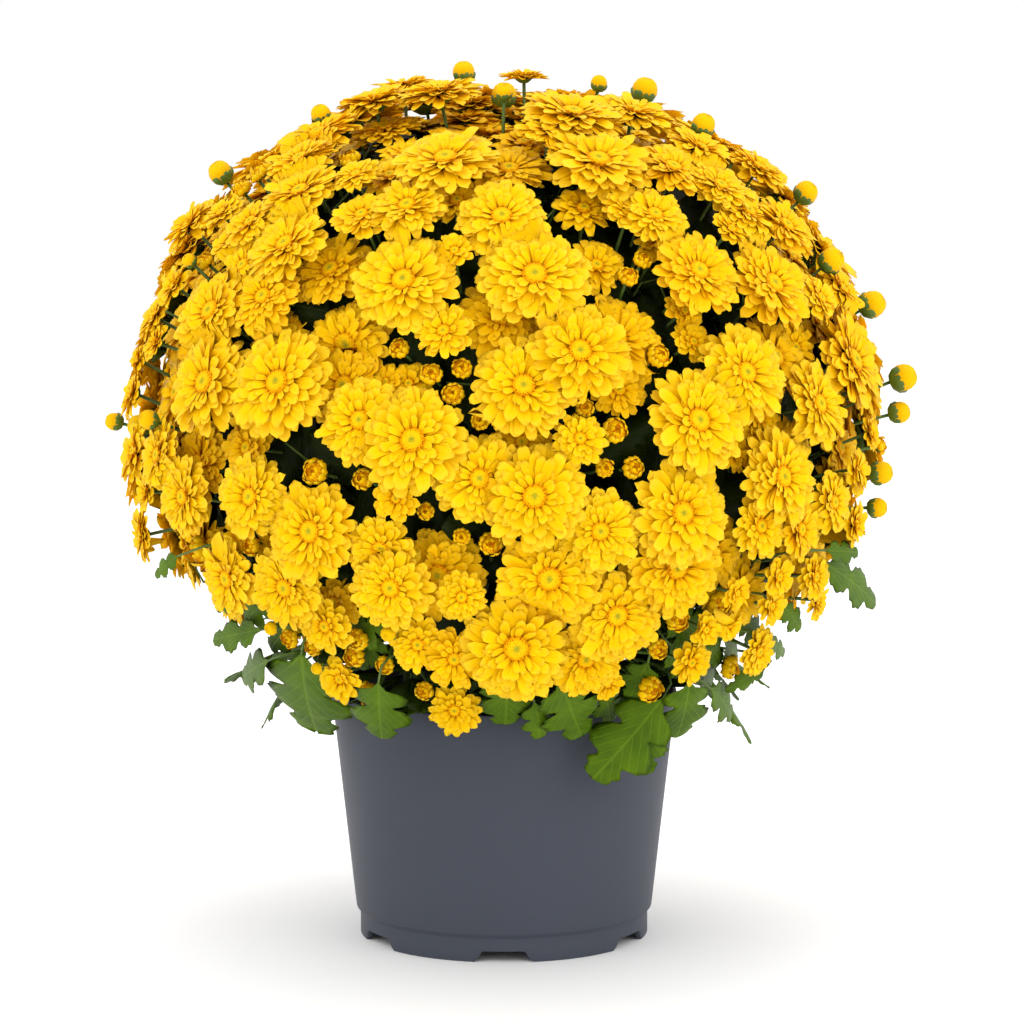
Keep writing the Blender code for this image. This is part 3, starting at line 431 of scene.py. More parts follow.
# Where each bloom, bud and leaf is
# Open blooms, half-open buds and closed buds stand on a rounded dome and face outwards
# from it. Those of the front are listed, and a seeded rule fills the other sides.
SEED = 21
DOME = np.array([0.0, 0.0, 0.275])
DOME_WIDE = 0.208
DOME_UP = 0.195
DOME_DOWN = 0.165
DOME_POWER = 2.25
SKIRT_RADIUS = 0.116
TURN_UP = 0.22
MOST_DOWN = -0.35
SINK = 12 * MM
SINK_LOW = 0.3
SINK_FROM = 0.25
LOWEST = 0.15
SEEN_SLANT = -0.22
TURN_FRONT = -1.4
HEART = np.array([0.0, 0.0, 0.2])
INNER_STEMS = 4
OUTER_STEMS = 8
INNER_SHARE = 0.27
INNER_FOOT, INNER_TOP = 22 * MM, 0.42
OUTER_FOOT, OUTER_TOP = 56 * MM, 0.66
FORK_SHARE = 0.6
MOST_SPRAYS = 46
FRINGE_LEAVES = 24
EYE = np.array([0.0026, -1.762, 0.4076])
RAY_STEPS = np.linspace(1.5, 1.85, 1401)
SKIRT_TOP = 0.165
LEAN = math.radians(5.67)
PLANE_HEIGHT = 0.2326
READING_SHIFT = -5.0

# Open blooms of the front: across, up and width in millimetres on the reading plane.
FRONT_BLOOMS = [
    (-27, 427, 57), (-48, 401, 44), (4, 395, 50), (57, 426, 58), (30, 443, 36),
    (43, 452, 56), (-50, 467, 36), (-30, 464, 46), (-66, 459, 44), (16, 472, 26),
    (76, 453, 46), (-97, 441, 46), (-107, 427, 42), (-107, 409, 46), (-76, 418, 28),
    (-168, 391, 36), (-150, 397, 28), (-134, 392, 34), (-145, 381, 26), (-138, 368, 36),
    (-115, 380, 48), (-73, 396, 34), (-176, 357, 26), (-156, 343, 52), (-127, 351, 44),
    (-119, 304, 62), (-159, 304, 58), (-74, 283, 48), (-196, 316, 20), (-186, 326, 22),
    (-187, 340, 28), (-199, 298, 28), (-198, 266, 34), (-185, 264, 38), (-134, 241, 46),
    (-101, 222, 56), (-171, 241, 42), (-191, 244, 24), (-194, 220, 30), (-50, 360, 58),
    (22, 363, 60), (-22, 376, 24), (-28, 332, 32), (47, 321, 56), (16, 302, 56),
    (-45, 272, 60), (47, 273, 30), (-8, 251, 50), (22, 241, 58), (-54, 240, 26),
    (112, 283, 58), (112, 365, 52), (153, 358, 54), (138, 309, 54), (178, 292, 48),
    (197, 316, 60), (206, 296, 24), (158, 252, 54), (103, 232, 58), (146, 225, 36),
    (168, 223, 34), (186, 238, 34), (198, 226, 26), (199, 254, 26), (88, 396, 40),
    (98, 422, 44), (124, 412, 40), (145, 422, 38), (139, 398, 42), (160, 390, 42),
    (113, 433, 36), (130, 388, 24), (191, 355, 34), (179, 350, 30), (-147, 196, 42),
    (-115, 191, 46), (-63, 212, 38), (-57, 191, 46), (-93, 170, 32), (-85, 141, 26),
    (-18, 186, 28), (12, 158, 62), (30, 196, 58), (58, 222, 46), (67, 176, 54),
    (50, 152, 44), (-42, 160, 32), (-22, 152, 34), (-22, 124, 30), (100, 202, 54),
    (108, 150, 25), (116, 168, 21), (129, 171, 19), (133, 188, 20), (152, 181, 22),
    (156, 197, 24), (176, 197, 28), (177, 184, 22), (145, 156, 28), (75, 400, 34),
    (62, 138, 18), (206, 276, 20), (-105, 441, 22),
]

# Open blooms that lie deeper, in the shade of the ones before them.
DEEP_BLOOMS = [
    (8, 421, 48), (-60, 443, 40), (-90, 366, 46), (-83, 325, 52), (-83, 302, 48),
    (-163, 259, 46), (-136, 268, 34), (4, 340, 50), (67, 328, 50), (15, 271, 34),
    (68, 300, 32), (76, 313, 26), (104, 343, 24), (109, 326, 24), (165, 323, 32),
    (-88, 183, 32), (-31, 198, 50), (132, 265, 22), (-12, 457, 44), (56, 368, 34),
    (-60, 304, 22), (-47, 303, 26), (85, 215, 26), (-140, 222, 22),
]

# Half-open buds: a ring of short petals round a hollow.
HALF_OPEN = [
    (-140, 411, 14), (-131, 417, 9), (-80, 428, 13), (-160, 371, 12), (-100, 255, 17),
    (-73, 251, 14), (-53, 323, 13), (-38, 233, 11), (-8, 283, 12), (50, 290, 12),
    (67, 278, 16), (61, 257, 12), (77, 257, 14), (-23, 298, 14), (-18, 312, 13),
    (-35, 309, 14), (74, 363, 13), (91, 319, 15), (-114, 163, 13), (-101, 158, 12),
    (-76, 162, 14), (-78, 153, 14), (-165, 211, 18), (-148, 214, 15), (-71, 132, 16),
    (-2, 215, 15), (-18, 219, 11), (-39, 134, 12), (131, 147, 15), (102, 173, 16),
    (91, 157, 13), (87, 135, 17), (82, 372, 12), (213, 269, 11), (-61, 148, 12),
    (-135, 214, 13), (126, 181, 18), (192, 248, 14),
]

# Closed buds, most of them proud of the blooms.
CLOSED_BUDS = [
    (-95, 450, 11), (-150, 418, 13), (-17, 473, 12), (82, 463, 14), (114, 444, 13),
    (170, 407, 13), (184, 370, 14), (206, 346, 15), (223, 306, 15), (221, 287, 12),
    (211, 254, 13), (209, 235, 11), (-167, 370, 8), (-189, 283, 11), (-122, 169, 8),
    (-97, 147, 7), (-58, 166, 9), (57, 467, 9), (5, 462, 9), (-208, 282, 10),
]


# Leaves of the fringe: base across and up, tip across and up, and width.
FRONT_LEAVES = [
    (-128, 168, -160, 163, 17), (-166, 209, -182, 199, 10), (-152, 205, -167, 197, 10),
    (-106, 154, -103, 103, 50), (-118, 152, -141, 140, 22), (-60, 140, -60, 104, 32),
    (6, 142, 8, 111, 30), (36, 140, 50, 104, 34), (92, 130, 56, 84, 38),
    (82, 124, 81, 88, 26), (104, 140, 101, 104, 28), (112, 137, 131, 121, 18),
    (146, 148, 119, 133, 14), (150, 163, 164, 151, 11), (158, 181, 171, 169, 14),
    (180, 205, 218, 183, 21), (178, 212, 199, 210, 13), (22, 128, 27, 106, 18),
]


def unit(v):
    """The vector or rows of vectors v, each divided by its length."""
    return v / np.linalg.norm(v, axis=-1, keepdims=True)


def dome_level(points, deep=0.0):
    """Superellipsoid value of the points: below 1 inside the dome, above 1 outside."""
    p = points - DOME
    flat = np.hypot(p[..., 0], p[..., 1]) / (DOME_WIDE - deep)
    tall = np.where(p[..., 2] > 0, p[..., 2] / (DOME_UP - deep), -p[..., 2] / (DOME_DOWN - deep))
    return flat ** DOME_POWER + tall ** DOME_POWER


def dome_normal(point):
    """Outward normal of the dome's level surface at a point, from its differences."""
    step = 1e-4 * np.eye(3)
    return unit(np.array([dome_level(point + s) - dome_level(point - s) for s in step]))


def seen(across, up, deep=0.0):
    """The point that the eye sees at a place on the reading plane, on the dome or nearest to it.

    Below the dome it is on the upright skirt that hangs round the pot's rim.
    """
    rise = up * MM - PLANE_HEIGHT
    aim = np.array([(across + READING_SHIFT) * MM, rise * math.sin(LEAN),
                    PLANE_HEIGHT + rise * math.cos(LEAN)])
    ray = unit(aim - EYE)
    points = EYE + RAY_STEPS[:, None] * ray
    level = dome_level(points, deep)
    skirt = np.hypot(points[:, 0], points[:, 1]) / (SKIRT_RADIUS - deep)
    level = np.where(points[:, 2] < SKIRT_TOP, np.minimum(level, skirt ** 2), level)
    inside = np.nonzero(level < 1)[0]
    return points[inside[0] if len(inside) else np.argmin(level)]


class Head:
    """One bloom or bud: where it sits, the way it faces, its radius, its depth and its kind."""

    def __init__(self, place, radius, deep, kind, draw):
        self.place = place
        self.radius = radius
        self.deep = deep
        self.kind = kind
        tilt = np.array([draw.uniform(-0.05, 0.05) for _ in range(3)])
        level = np.maximum(dome_normal(place), [-1, -1, MOST_DOWN])
        self.facing = unit(level + [0, 0, TURN_UP] + tilt)
        self.turn = draw.uniform(0, math.tau)
        self.toward = unit(place - HEART)


def front_heads(draw):
    """The listed heads, as real sizes: a width is read larger the nearer it is to the eye."""
    heads = []
    for kind, deep, listed in (("bloom", 0.0, FRONT_BLOOMS), ("bloom", 14 * MM, DEEP_BLOOMS),
                               ("half", 6 * MM, HALF_OPEN), ("bud", -2 * MM, CLOSED_BUDS)):
        for across, up, width in listed:
            place = seen(across, up, deep)
            nearness = np.linalg.norm(place - EYE) / abs(EYE[1])
            heads.append(Head(place, width * MM / 2 * nearness, deep, kind, draw))
    return heads


def dome_point(toward):
    """Where a ray from the dome's middle meets the dome."""
    return DOME + toward / dome_level(DOME + toward) ** (1 / DOME_POWER)


def spiral(k, count, reach, swing=0.0):
    """The k-th of count directions on a golden spiral, from straight up down to a height of 1 - reach."""
    height = 1 - reach * (k + 0.5) / count
    angle = k * math.pi * (3 - math.sqrt(5)) + swing
    flat = math.sqrt(1 - height * height)
    return np.array([flat * math.cos(angle), flat * math.sin(angle), height])


def has_room(place, radius, heads, share):
    """Whether each head's middle is further off than a share of the two radii together."""
    return all(np.linalg.norm(place - h.place) > share * (radius + h.radius) for h in heads)


def fill_heads(heads, draw):
    """Blooms, then buds, on the sides that the front list leaves bare, each in free room.

    Each row has a kind, the number of tries, the radii in millimetres and the least room.
    They sink a little below the dome near the outline that the eye sees, and more
    towards the lower edge. On the front side of that outline they keep further apart.
    """
    for kind, tries, radii, closeness in (
            ("bloom", 900, (29, 28, 27, 25, 23), 0.80),
            ("bloom", 500, (17, 13), 0.88),
            ("half", 150, (7, 6), 1.05),
            ("bud", 100, (6.5,), 1.0)):
        for k in range(tries):
            place = dome_point(spiral(k, tries, 1.62, draw.uniform(-0.1, 0.1)))
            outward = dome_normal(place)
            slant = outward @ unit(place - EYE)
            if place[2] < LOWEST or slant < SEEN_SLANT:
                continue
            sink = SINK * max(0, 1 - 2 * abs(slant)) + SINK_LOW * max(0, SINK_FROM - place[2])
            place = place - sink * outward
            radius = draw.choice(radii) * MM
            if has_room(place, radius, heads, closeness * (1.1 if slant < 0 else 1.0)):
                heads.append(Head(place, radius, 0.0, kind, draw))


def side_axes(facing, turn=0.0):
    """Two axes across a direction, turned about it."""
    first = unit(np.cross(facing, [0.31, 0.17, 0.93] if abs(facing[2]) < 0.9 else [1, 0, 0]))
    second = np.cross(facing, first)
    return (math.cos(turn) * first + math.sin(turn) * second,
            math.cos(turn) * second - math.sin(turn) * first)


def neighbours(heads):
    """For each head, the others near enough to meet it."""
    near = {h: [] for h in heads}
    for i, a in enumerate(heads):
        for b in heads[i + 1:]:
            if np.linalg.norm(a.place - b.place) < 1.25 * (a.radius + b.radius) + 4 * MM:
                near[a].append(b)
                near[b].append(a)
    return near


def group_sprays(heads, count):
    """Heads in groups by their direction from the plant's heart, evened out by a few rounds."""
    ways = np.array([h.toward for h in heads])
    turn = math.pi * (3 - math.sqrt(5))
    height = 1 - 1.25 * (np.arange(count) + 0.5) / count
    flat = np.sqrt(1 - height ** 2)
    middles = np.stack([flat * np.cos(turn * np.arange(count)),
                        flat * np.sin(turn * np.arange(count)), height], axis=1)
    for _ in range(12):
        nearest = np.argmax(ways @ middles.T, axis=1)
        for k in range(count):
            if (nearest == k).any():
                middles[k] = unit(ways[nearest == k].sum(axis=0))
    return [[h for h, n in zip(heads, nearest) if n == k] for k in range(count) if (nearest == k).any()]


def azimuth(point):
    """Angle of a point about the pot's axis."""
    return math.atan2(point[1], point[0])


def split_round(items, count):
    """Items in order of azimuth, cut into runs of nearly equal length."""
    ordered = sorted(items, key=lambda item: azimuth(item[0]))
    cuts = [round(k * len(ordered) / count) for k in range(count + 1)]
    return [ordered[a:b] for a, b in zip(cuts, cuts[1:])]


def plan_stems(sprays):
    """For each stem, its foot, its top and the forks and sprays that it carries."""
    forks = []
    for spray in sprays:
        middle = np.mean([h.place for h in spray], axis=0)
        forks.append((HEART + FORK_SHARE * (middle - HEART), spray))
    forks.sort(key=lambda fork: -unit(fork[0] - HEART)[2])
    inner = round(len(forks) * INNER_SHARE)
    stems = []
    for group, foot_radius, top_share in (
            *((g, INNER_FOOT, INNER_TOP) for g in split_round(forks[:inner], INNER_STEMS)),
            *((g, OUTER_FOOT, OUTER_TOP) for g in split_round(forks[inner:], OUTER_STEMS))):
        middle = np.mean([fork for fork, _ in group], axis=0)
        angle = azimuth(middle)
        foot = foot_radius * np.array([math.cos(angle), math.sin(angle)])
        stems.append((foot, HEART + top_share * (middle - HEART), group))
    return stems


def ways_round(angle):
    """The ways outwards and sideways at an angle about the pot's axis."""
    out = np.array([math.cos(angle), math.sin(angle), 0])
    return out, np.array([-out[1], out[0], 0])


def list_leaves(draw):
    """The listed leaves of the front, then others round the sides that the eye doesn't see."""
    leaves = []
    for across, up, far_across, far_up, width in FRONT_LEAVES:
        base, tip = seen(across, up, 4 * MM), seen(far_across, far_up, -4 * MM)
        leaves.append((base, tip, width * MM))
    for k in range(FRINGE_LEAVES):
        angle = math.pi * (-0.04 + 1.08 * (k + 0.5 + draw.uniform(-0.3, 0.3)) / FRINGE_LEAVES)
        out, side = ways_round(angle)
        low = k % 2 == 0
        base = (112 + draw.uniform(-3, 6)) * MM * out + [0, 0, (143 if low else 158) * MM]
        length = draw.uniform(24, 44) * MM
        dip = draw.uniform(0.7, 1.1) if low else draw.uniform(0.2, 0.5)
        swing = draw.uniform(-0.45, 0.45)
        way = math.cos(dip) * (math.cos(swing) * out + math.sin(swing) * side) - [0, 0, math.sin(dip)]
        leaves.append((base, base + length * way, length * draw.uniform(0.65, 0.95)))
    return leaves


LOW_SEED = 3
LOW_TRIES = 900
LOW_ROOM = 0.56
LOW_SLANT = -0.74
LOW_EDGE = 0.195
draw = random.Random(SEED)
heads = front_heads(draw)
listed = len(heads)
fill_heads(heads, draw)
stems = plan_stems(group_sprays(heads, MOST_SPRAYS))
wanted_leaves = list_leaves(draw)

# Smaller blooms open deeper down, between the others, where the dome turns away from the front.
low_draw = random.Random(LOW_SEED)
lower = []
for k in range(LOW_TRIES):
    surface = dome_point(spiral(k, LOW_TRIES, 1.5, low_draw.uniform(-0.1, 0.1)))
    outward = dome_normal(surface)
    slant = outward @ unit(surface - EYE)
    radius = low_draw.choice((25, 22, 19, 16)) * MM
    deep = low_draw.uniform(10, 17) * MM + SINK * max(0, 1 - 2 * abs(slant))
    place = surface - deep * outward
    if surface[2] < LOW_EDGE or slant < LOW_SLANT:
        continue
    if has_room(place, radius, heads + lower, LOW_ROOM):
        lower.append(Head(place, radius, deep, "bloom", low_draw))
for head in lower:
    spray = max((spray for _, _, group in stems for _, spray in group),
                key=lambda spray: unit(np.mean([h.place for h in spray], axis=0) - HEART) @ head.toward)
    spray.append(head)
heads += lower
near = neighbours(heads)

# Petals
# Each open bloom has rings of yellow petals round a small disc. A petal is a narrow,
# thin blade with a groove along it and a rounded tip, grown on the edge of the flower head.
BLOOM_SEED = 7
SECTION = np.array([(-1, 0.11), (0, -0.06), (1, 0.11), (0, -0.20)])
# Forms of petal, from fine to coarse: each row's place along it, and the half-width there.
LONG = np.array([(0, 0.36, 0.70, 0.92, 1.0), (0.48, 0.80, 1.0, 0.84, 0.36)])
SHORT = np.array([(0, 0.42, 0.80, 1.0), (0.5, 0.88, 1.0, 0.42)])
COARSE = np.array([(0, 0.62, 1.0), (0.55, 1.0, 0.5)])
CUPPED = np.array([(0, 0.35, 0.7, 1.0), (0.9, 1.0, 0.94, 0.5)])
OVERLAP = 1.05
SHADE_AGE_DEPTH = 10 * MM
# Each ring has its number of petals, then tip radius, half-width, start radius and height as
# shares of the bloom's radius, then rise and fall in degrees.
LARGE_RINGS = ((22, 1.00, 0.136, 0.19, -0.10, 10, -14), (21, 0.93, 0.132, 0.19, -0.075, 13, -10),
               (19, 0.83, 0.122, 0.20, -0.05, 17, -5), (18, 0.71, 0.106, 0.21, -0.025, 21, 0),
               (16, 0.57, 0.084, 0.21, 0.00, 26, 7), (14, 0.42, 0.058, 0.20, 0.03, 31, 17))
BACK_RINGS = ((19, 1.00, 0.150, 0.20, -0.10, 11, -13), (18, 0.90, 0.142, 0.20, -0.065, 15, -8),
              (16, 0.76, 0.126, 0.21, -0.035, 20, -2), (14, 0.60, 0.106, 0.21, -0.005, 25, 6),
              (12, 0.43, 0.076, 0.20, 0.025, 31, 18))
MEDIUM_RINGS = ((16, 1.00, 0.170, 0.20, -0.10, 12, -11), (15, 0.87, 0.156, 0.20, -0.06, 17, -4),
                (13, 0.70, 0.130, 0.21, -0.02, 24, 4), (11, 0.48, 0.090, 0.20, 0.025, 31, 17))
SMALL_RINGS = ((12, 1.00, 0.225, 0.20, -0.08, 16, -9), (11, 0.80, 0.190, 0.21, -0.03, 25, 4),
               (9, 0.52, 0.125, 0.20, 0.03, 36, 22))
LOWER_RINGS = ((14, 1.00, 0.195, 0.20, -0.10, 13, -12), (12, 0.80, 0.170, 0.20, -0.05, 18, -4),
               (10, 0.56, 0.125, 0.20, 0.00, 26, 8))
HALF_RINGS = ((11, 0.98, 0.27, 0.80, -0.55, 62, 142), (8, 0.62, 0.20, 0.46, -0.30, 74, 146))
# How far petals differ by chance: ranges as shares, and spreads of normal draws.
ASTRAY = 0.28
REACH_RANGE = (0.93, 1.05)
HEIGHT_RANGE = (-0.02, 0.02)
WIDTH_RANGE = (0.86, 1.1)
TIP_RANGE = (-0.05, 0.06)
TILT_SPREAD = math.radians(5)
BEND_SPREAD = math.radians(6)
ROLL_SPREAD = 0.22
ASIDE_SPREAD = 0.05
dice = np.random.default_rng(BLOOM_SEED)


def petals(head, ring, form):
    """Points of one ring of petals, (petals, rows x section, 3).

    Seen along the head's axis a petal runs out from its start; its slope falls evenly
    from rise to fall along its length, so its path is the integral of that slope's
    cosine outwards and sine upwards. The section stands across the path, scaled by the
    width at each row, and rolls and bends a little aside by chance.
    """
    count, reach, width, start, low, rise, fall = ring
    rows, widths = form
    r = head.radius * (OVERLAP if head.kind == "bloom" else 1)
    x, y = side_axes(head.facing, head.turn)
    step = math.tau / count
    phi = step * (np.arange(count) + dice.uniform(-ASTRAY, ASTRAY, count)) + dice.uniform(0, math.tau)
    tilt = dice.normal(0, TILT_SPREAD, count)
    e0 = math.radians(rise) + tilt
    bend = math.radians(fall - rise) + dice.normal(0, BEND_SPREAD, count)
    bend = np.where(np.abs(bend) < 0.02, 0.02, bend)
    s = rows[None, :]
    slope = e0[:, None] + bend[:, None] * s
    outward = (np.sin(slope) - np.sin(e0)[:, None]) / bend[:, None]
    upward = (np.cos(e0)[:, None] - np.cos(slope)) / bend[:, None]
    long = r * (reach * dice.uniform(*REACH_RANGE, count) - start)[:, None]
    long = long / np.maximum(outward[:, -1:], 0.25)
    flat = r * start + long * outward
    up = r * (low + dice.uniform(*HEIGHT_RANGE, count))[:, None] + long * upward
    radial = np.cos(phi)[:, None] * x + np.sin(phi)[:, None] * y
    across = np.cos(phi)[:, None] * y - np.sin(phi)[:, None] * x
    half = r * width * dice.uniform(*WIDTH_RANGE, count)[:, None] * widths[None, :]
    roll = dice.normal(0, ROLL_SPREAD, count)[:, None, None] * s[..., None]
    sx, sz = SECTION.T
    cup = 1 + 1.2 * (1 - s[..., None])
    side = half[..., None] * (sx * np.cos(roll) - sz * cup * np.sin(roll))
    lift = half[..., None] * (sz * cup * np.cos(roll) + sx * np.sin(roll))
    side = side + (r * dice.normal(0, ASIDE_SPREAD, count))[:, None, None] * s[..., None] ** 2
    # The tip's middle is drawn out or notched.
    poke = long * dice.uniform(*TIP_RANGE, count)[:, None] * (s > 0.99)
    along = poke[..., None] * (1 - np.abs(sx))
    rise_now = np.sin(slope)[..., None]
    level = np.cos(slope)[..., None]
    out_by = flat[..., None] - lift * rise_now + along * level
    up_by = up[..., None] + lift * level + along * rise_now
    points = (out_by[..., None] * radial[:, None, None] + side[..., None] * across[:, None, None]
              + up_by[..., None] * head.facing + head.place)
    return points.reshape(count, -1, 3)


def petal_places(rows):
    """Place on a petal: across from 0 to 1, and along from 0 to 1."""
    u, v = np.meshgrid((SECTION[:, 0] + 1) / 2, rows)
    return np.stack([u, v], axis=-1).reshape(-1, 2)


def petal_marks(rows):
    """1 along a petal's left edge and 2 along its right edge, so that the edges stay crisp."""
    mark = np.where(SECTION[:, 0] == -1, 1, np.where(SECTION[:, 0] == 1, 2, 0))
    return np.tile(mark, len(rows))


def tucked(points, head):
    """Petals moved clear of their neighbours.

    A point above the underside of a bloom that lies higher is pushed down to it along
    that bloom's axis, less and less beyond its rim. A point inside a bud's or half-open
    bud's cylinder is pushed out of it.
    """
    for other in near[head]:
        offset = points - other.place
        high = offset @ other.facing
        flat = offset - high[..., None] * other.facing
        wide = np.linalg.norm(flat, axis=-1) / other.radius
        if other.kind == "bloom":
            if order[other] < order[head]:
                continue
            under = (-0.2 + 0.1 * wide) * other.radius
            push = np.maximum(0, high - under) * (1 - eased(wide, 0.82, 1.12)) * (high < 1.3 * other.radius)
            points = points - push[..., None] * other.facing
        else:
            clear = 1.1 * other.radius * (1 - eased(np.abs(high) / other.radius, 1.0, 1.8))
            push = np.maximum(0, clear - wide * other.radius)
            points = points + (push / (wide * other.radius + 1e-6))[..., None] * flat
    return points


order_dice = random.Random(BLOOM_SEED)
order = {h: h.radius * order_dice.uniform(0.8, 1.25) - 4 * h.deep for h in heads}
# Every bloom gets a random age tint towards darker orange; blooms deeper than 10 mm always get a strong one,
# as painted shade under the blooms before them.
age_and_shade = {h: order_dice.uniform(0 if h.deep < SHADE_AGE_DEPTH else 0.75, 1) for h in heads}

# Steps that read a piece's own places and tones.
PLACE_STEPS = (
    ("place", "UVMap", {".uv_map": "place"}, {}),
    ("uv", "SeparateXYZ", {}, {"Vector": ("place", 0)}),
)
TONE_STEPS = (
    ("tone", "Attribute", {".attribute_name": "tone"}, {}),
    ("tones", "SeparateColor", {}, {"Color": ("tone", "Color")}),
)
petal_finish = plain_finish("yellow_petal", (0.95, 0.6, 0.01), 0.55, 0.12, (1.0, 0.75, 0.08))
wired(petal_finish, [
    *PLACE_STEPS, *TONE_STEPS,
    # Each petal is deeper orange towards its base: partly the petals' own warmer base, partly painted shade
    # at the heart of the bloom.
    ranged("warm_up", ("uv", "Y"), 0.0, 0.62, kind="SMOOTHSTEP"),
    mixed("body", ("warm_up", 0), (0.91, 0.40, 0.001), (0.92, 0.54, 0.001)),
    ranged("pale_up", ("uv", "Y"), 0.70, 1.0, 0.0, 0.75, "SMOOTHSTEP"),
    mixed("tipped", ("pale_up", 0), ("body", MIX_OUT), (0.95, 0.60, 0.032)),
    ("across", "Math", {".operation": "MULTIPLY", 1: 9.0}, {0: ("uv", "X")}),
    ("pattern", "CombineXYZ", {}, {"X": ("across", 0), "Y": ("uv", "Y")}),
    ("moved", "VectorMath", {".operation": "MULTIPLY_ADD", 1: (1, 1.2, 1)},
     {0: ("pattern", 0), 2: ("tone", "Vector")}),
    ("vein", "TexNoise", {"Scale": 1.0, "Detail": 3.0}, {"Vector": ("moved", 0)}),
    ranged("vein_mask", ("vein", "Fac"), 0.42, 0.66, 0.0, 0.8),
    mixed("streaked", ("vein_mask", 0), ("tipped", MIX_OUT), (0.94, 0.60, 0.010)),
    # The age tint: darker orange for older blooms, and strong for deep ones as painted shade.
    ranged("age_shade", ("tones", "Blue"), 0.6, 1.0, 0.0, 0.35),
    mixed("aged_and_shaded", ("age_shade", 0), ("streaked", MIX_OUT), (0.96, 0.46, 0.001)),
    ranged("shade", ("tones", "Red"), 0.0, 1.0, 0.88, 1.0),
    ("toned", "VectorMath", {".operation": "SCALE"}, {0: ("aged_and_shaded", MIX_OUT), "Scale": ("shade", 0)}),
    relief(0.35, 0.0006, ("vein", "Fac")),
], {"Base Color": ("toned", 0), "Normal": ("bump", 0)})

# Discs
# In the middle of a bloom is a low button of packed florets: a dull green dimple, pale
# yellow round it, and at its edge a ring of small brown-orange dots of painted shade,
# for the gaps between the inner petals' bases.
DISC_ROWS = ((0.010, 0.058), (0.06, 0.068), (0.13, 0.076), (0.19, 0.062), (0.24, 0.03), (0.25, -0.06))
DISC_SIDES = 16
HIDDEN_SIDES = 10

disc_finish = plain_finish("floret_button", (0.9, 0.55, 0.02), 0.7, 0.08, (1.0, 0.75, 0.15))
made = wired(disc_finish, [
    *PLACE_STEPS,
    ("ramp", "ValToRGB", {}, {"Fac": ("uv", "Y")}),
    ("spot", "TexCoord", {}, {}),
    ("florets", "TexVoronoi", {"Scale": 900.0}, {"Vector": ("spot", "Object")}),
    # Each floret is painted darker towards its edges, as painted shade in the crevices between florets.
    ranged("gaps", ("florets", "Distance"), 0.2, 0.7, 1.0, 0.78),
    ("parted", "VectorMath", {".operation": "SCALE"}, {0: ("ramp", "Color"), "Scale": ("gaps", 0)}),
    # A ring of dark brown-orange dots of painted shade, for the gaps between the inner petals' bases.
    ranged("dots", ("florets", "Distance"), 0.28, 0.42, 1.0, 0.0),
    ranged("ring_in", ("uv", "Y"), 0.48, 0.58),
    ("gap_shade_dots", "Math", {".operation": "MULTIPLY"}, {0: ("dots", 0), 1: ("ring_in", 0)}),
    mixed("dotted", ("gap_shade_dots", 0), ("parted", 0), (0.42, 0.09, 0.002)),
    relief(0.5, 0.0005, ("florets", "Distance"), True),
], {"Base Color": ("dotted", MIX_OUT), "Normal": ("bump", 0)})
stops = made["ramp"].color_ramp.elements
# The ramp ends in dark brown: painted shade on the disc's rim where it runs under the petals, and in the
# middle of a half-open bud's hollow.
stops[0].color, stops[1].color = (0.36, 0.32, 0.02, 1), (0.28, 0.075, 0.002, 1)
for place, colour in ((0.15, (0.55, 0.43, 0.012)), (0.30, (0.90, 0.55, 0.005)), (0.50, (0.95, 0.53, 0.003)),
                      (0.78, (0.92, 0.38, 0.002))):
    stops.new(place).color = (*colour, 1)


def button(head, rows, sides):
    """Rings of points round the head's axis, from the middle out and down, as (1, n, 3)."""
    x, y = side_axes(head.facing, head.turn)
    angle = np.linspace(0, math.tau, sides, endpoint=False)
    round_it = np.cos(angle)[:, None] * x + np.sin(angle)[:, None] * y
    points = [head.place + head.radius * (flat * round_it + high * head.facing) for flat, high in rows]
    return np.concatenate(points)[None]


def ring_places(rows, sides, first, last, across=0):
    """Places on a button: across it, and from first to last down its rows."""
    along = np.repeat(np.linspace(first, last, len(rows)), sides)
    return np.stack([across + 0 * along, along], axis=-1)


# Green cups and stalks
# Below each bloom is a cup of green bracts on a thin ribbed stalk, which grows with the
# others of its spray from the end of a branch.
STALK_RADIUS = 0.9 * MM
CUP_ROWS = {"bloom": ((0.05, -0.34), (0.16, -0.32), (0.30, -0.22), (0.38, -0.14), (0.30, -0.15)),
            "half": ((0.12, -0.84), (0.40, -0.80), (0.60, -0.62), (0.70, -0.36), (0.58, -0.32),
                     (0.30, -0.55)),
            "bud": ((0.12, -0.94), (0.55, -0.85), (0.92, -0.50), (1.02, -0.10), (0.96, 0.08))}
CUP_SIDES = 10
CUP_WAVE = 0.07
STALK_SIDES = 4
STALK_STEPS = 7

green_finish = plain_finish("green_stalk", (0.10, 0.20, 0.03), 0.6)
wired(green_finish, [
    ("spot", "TexCoord", {}, {}),
    noise("mottle", 160.0, 3.0),
    mixed("tint", ("mottle", "Fac"), (0.03, 0.075, 0.004), (0.12, 0.20, 0.01)),
    relief(0.3, 0.0004, ("mottle", "Fac")),
], {"Base Color": ("tint", MIX_OUT), "Normal": ("bump", 0)})


def curve(a, b, c, d, steps):
    """Points of a cubic Bezier curve from a to d, and its unit directions."""
    t = np.linspace(0, 1, steps)[:, None]
    points = (1 - t) ** 3 * a + 3 * t * (1 - t) ** 2 * b + 3 * t * t * (1 - t) * c + t ** 3 * d
    return points, unit(np.gradient(points, axis=0))


def bent(start, end, leave, arrive, shares, steps):
    """A curve that leaves and arrives in two directions, held to each for a share of its span."""
    far = np.linalg.norm(end - start)
    return curve(start, start + shares[0] * far * leave, end - shares[1] * far * arrive, end, steps)


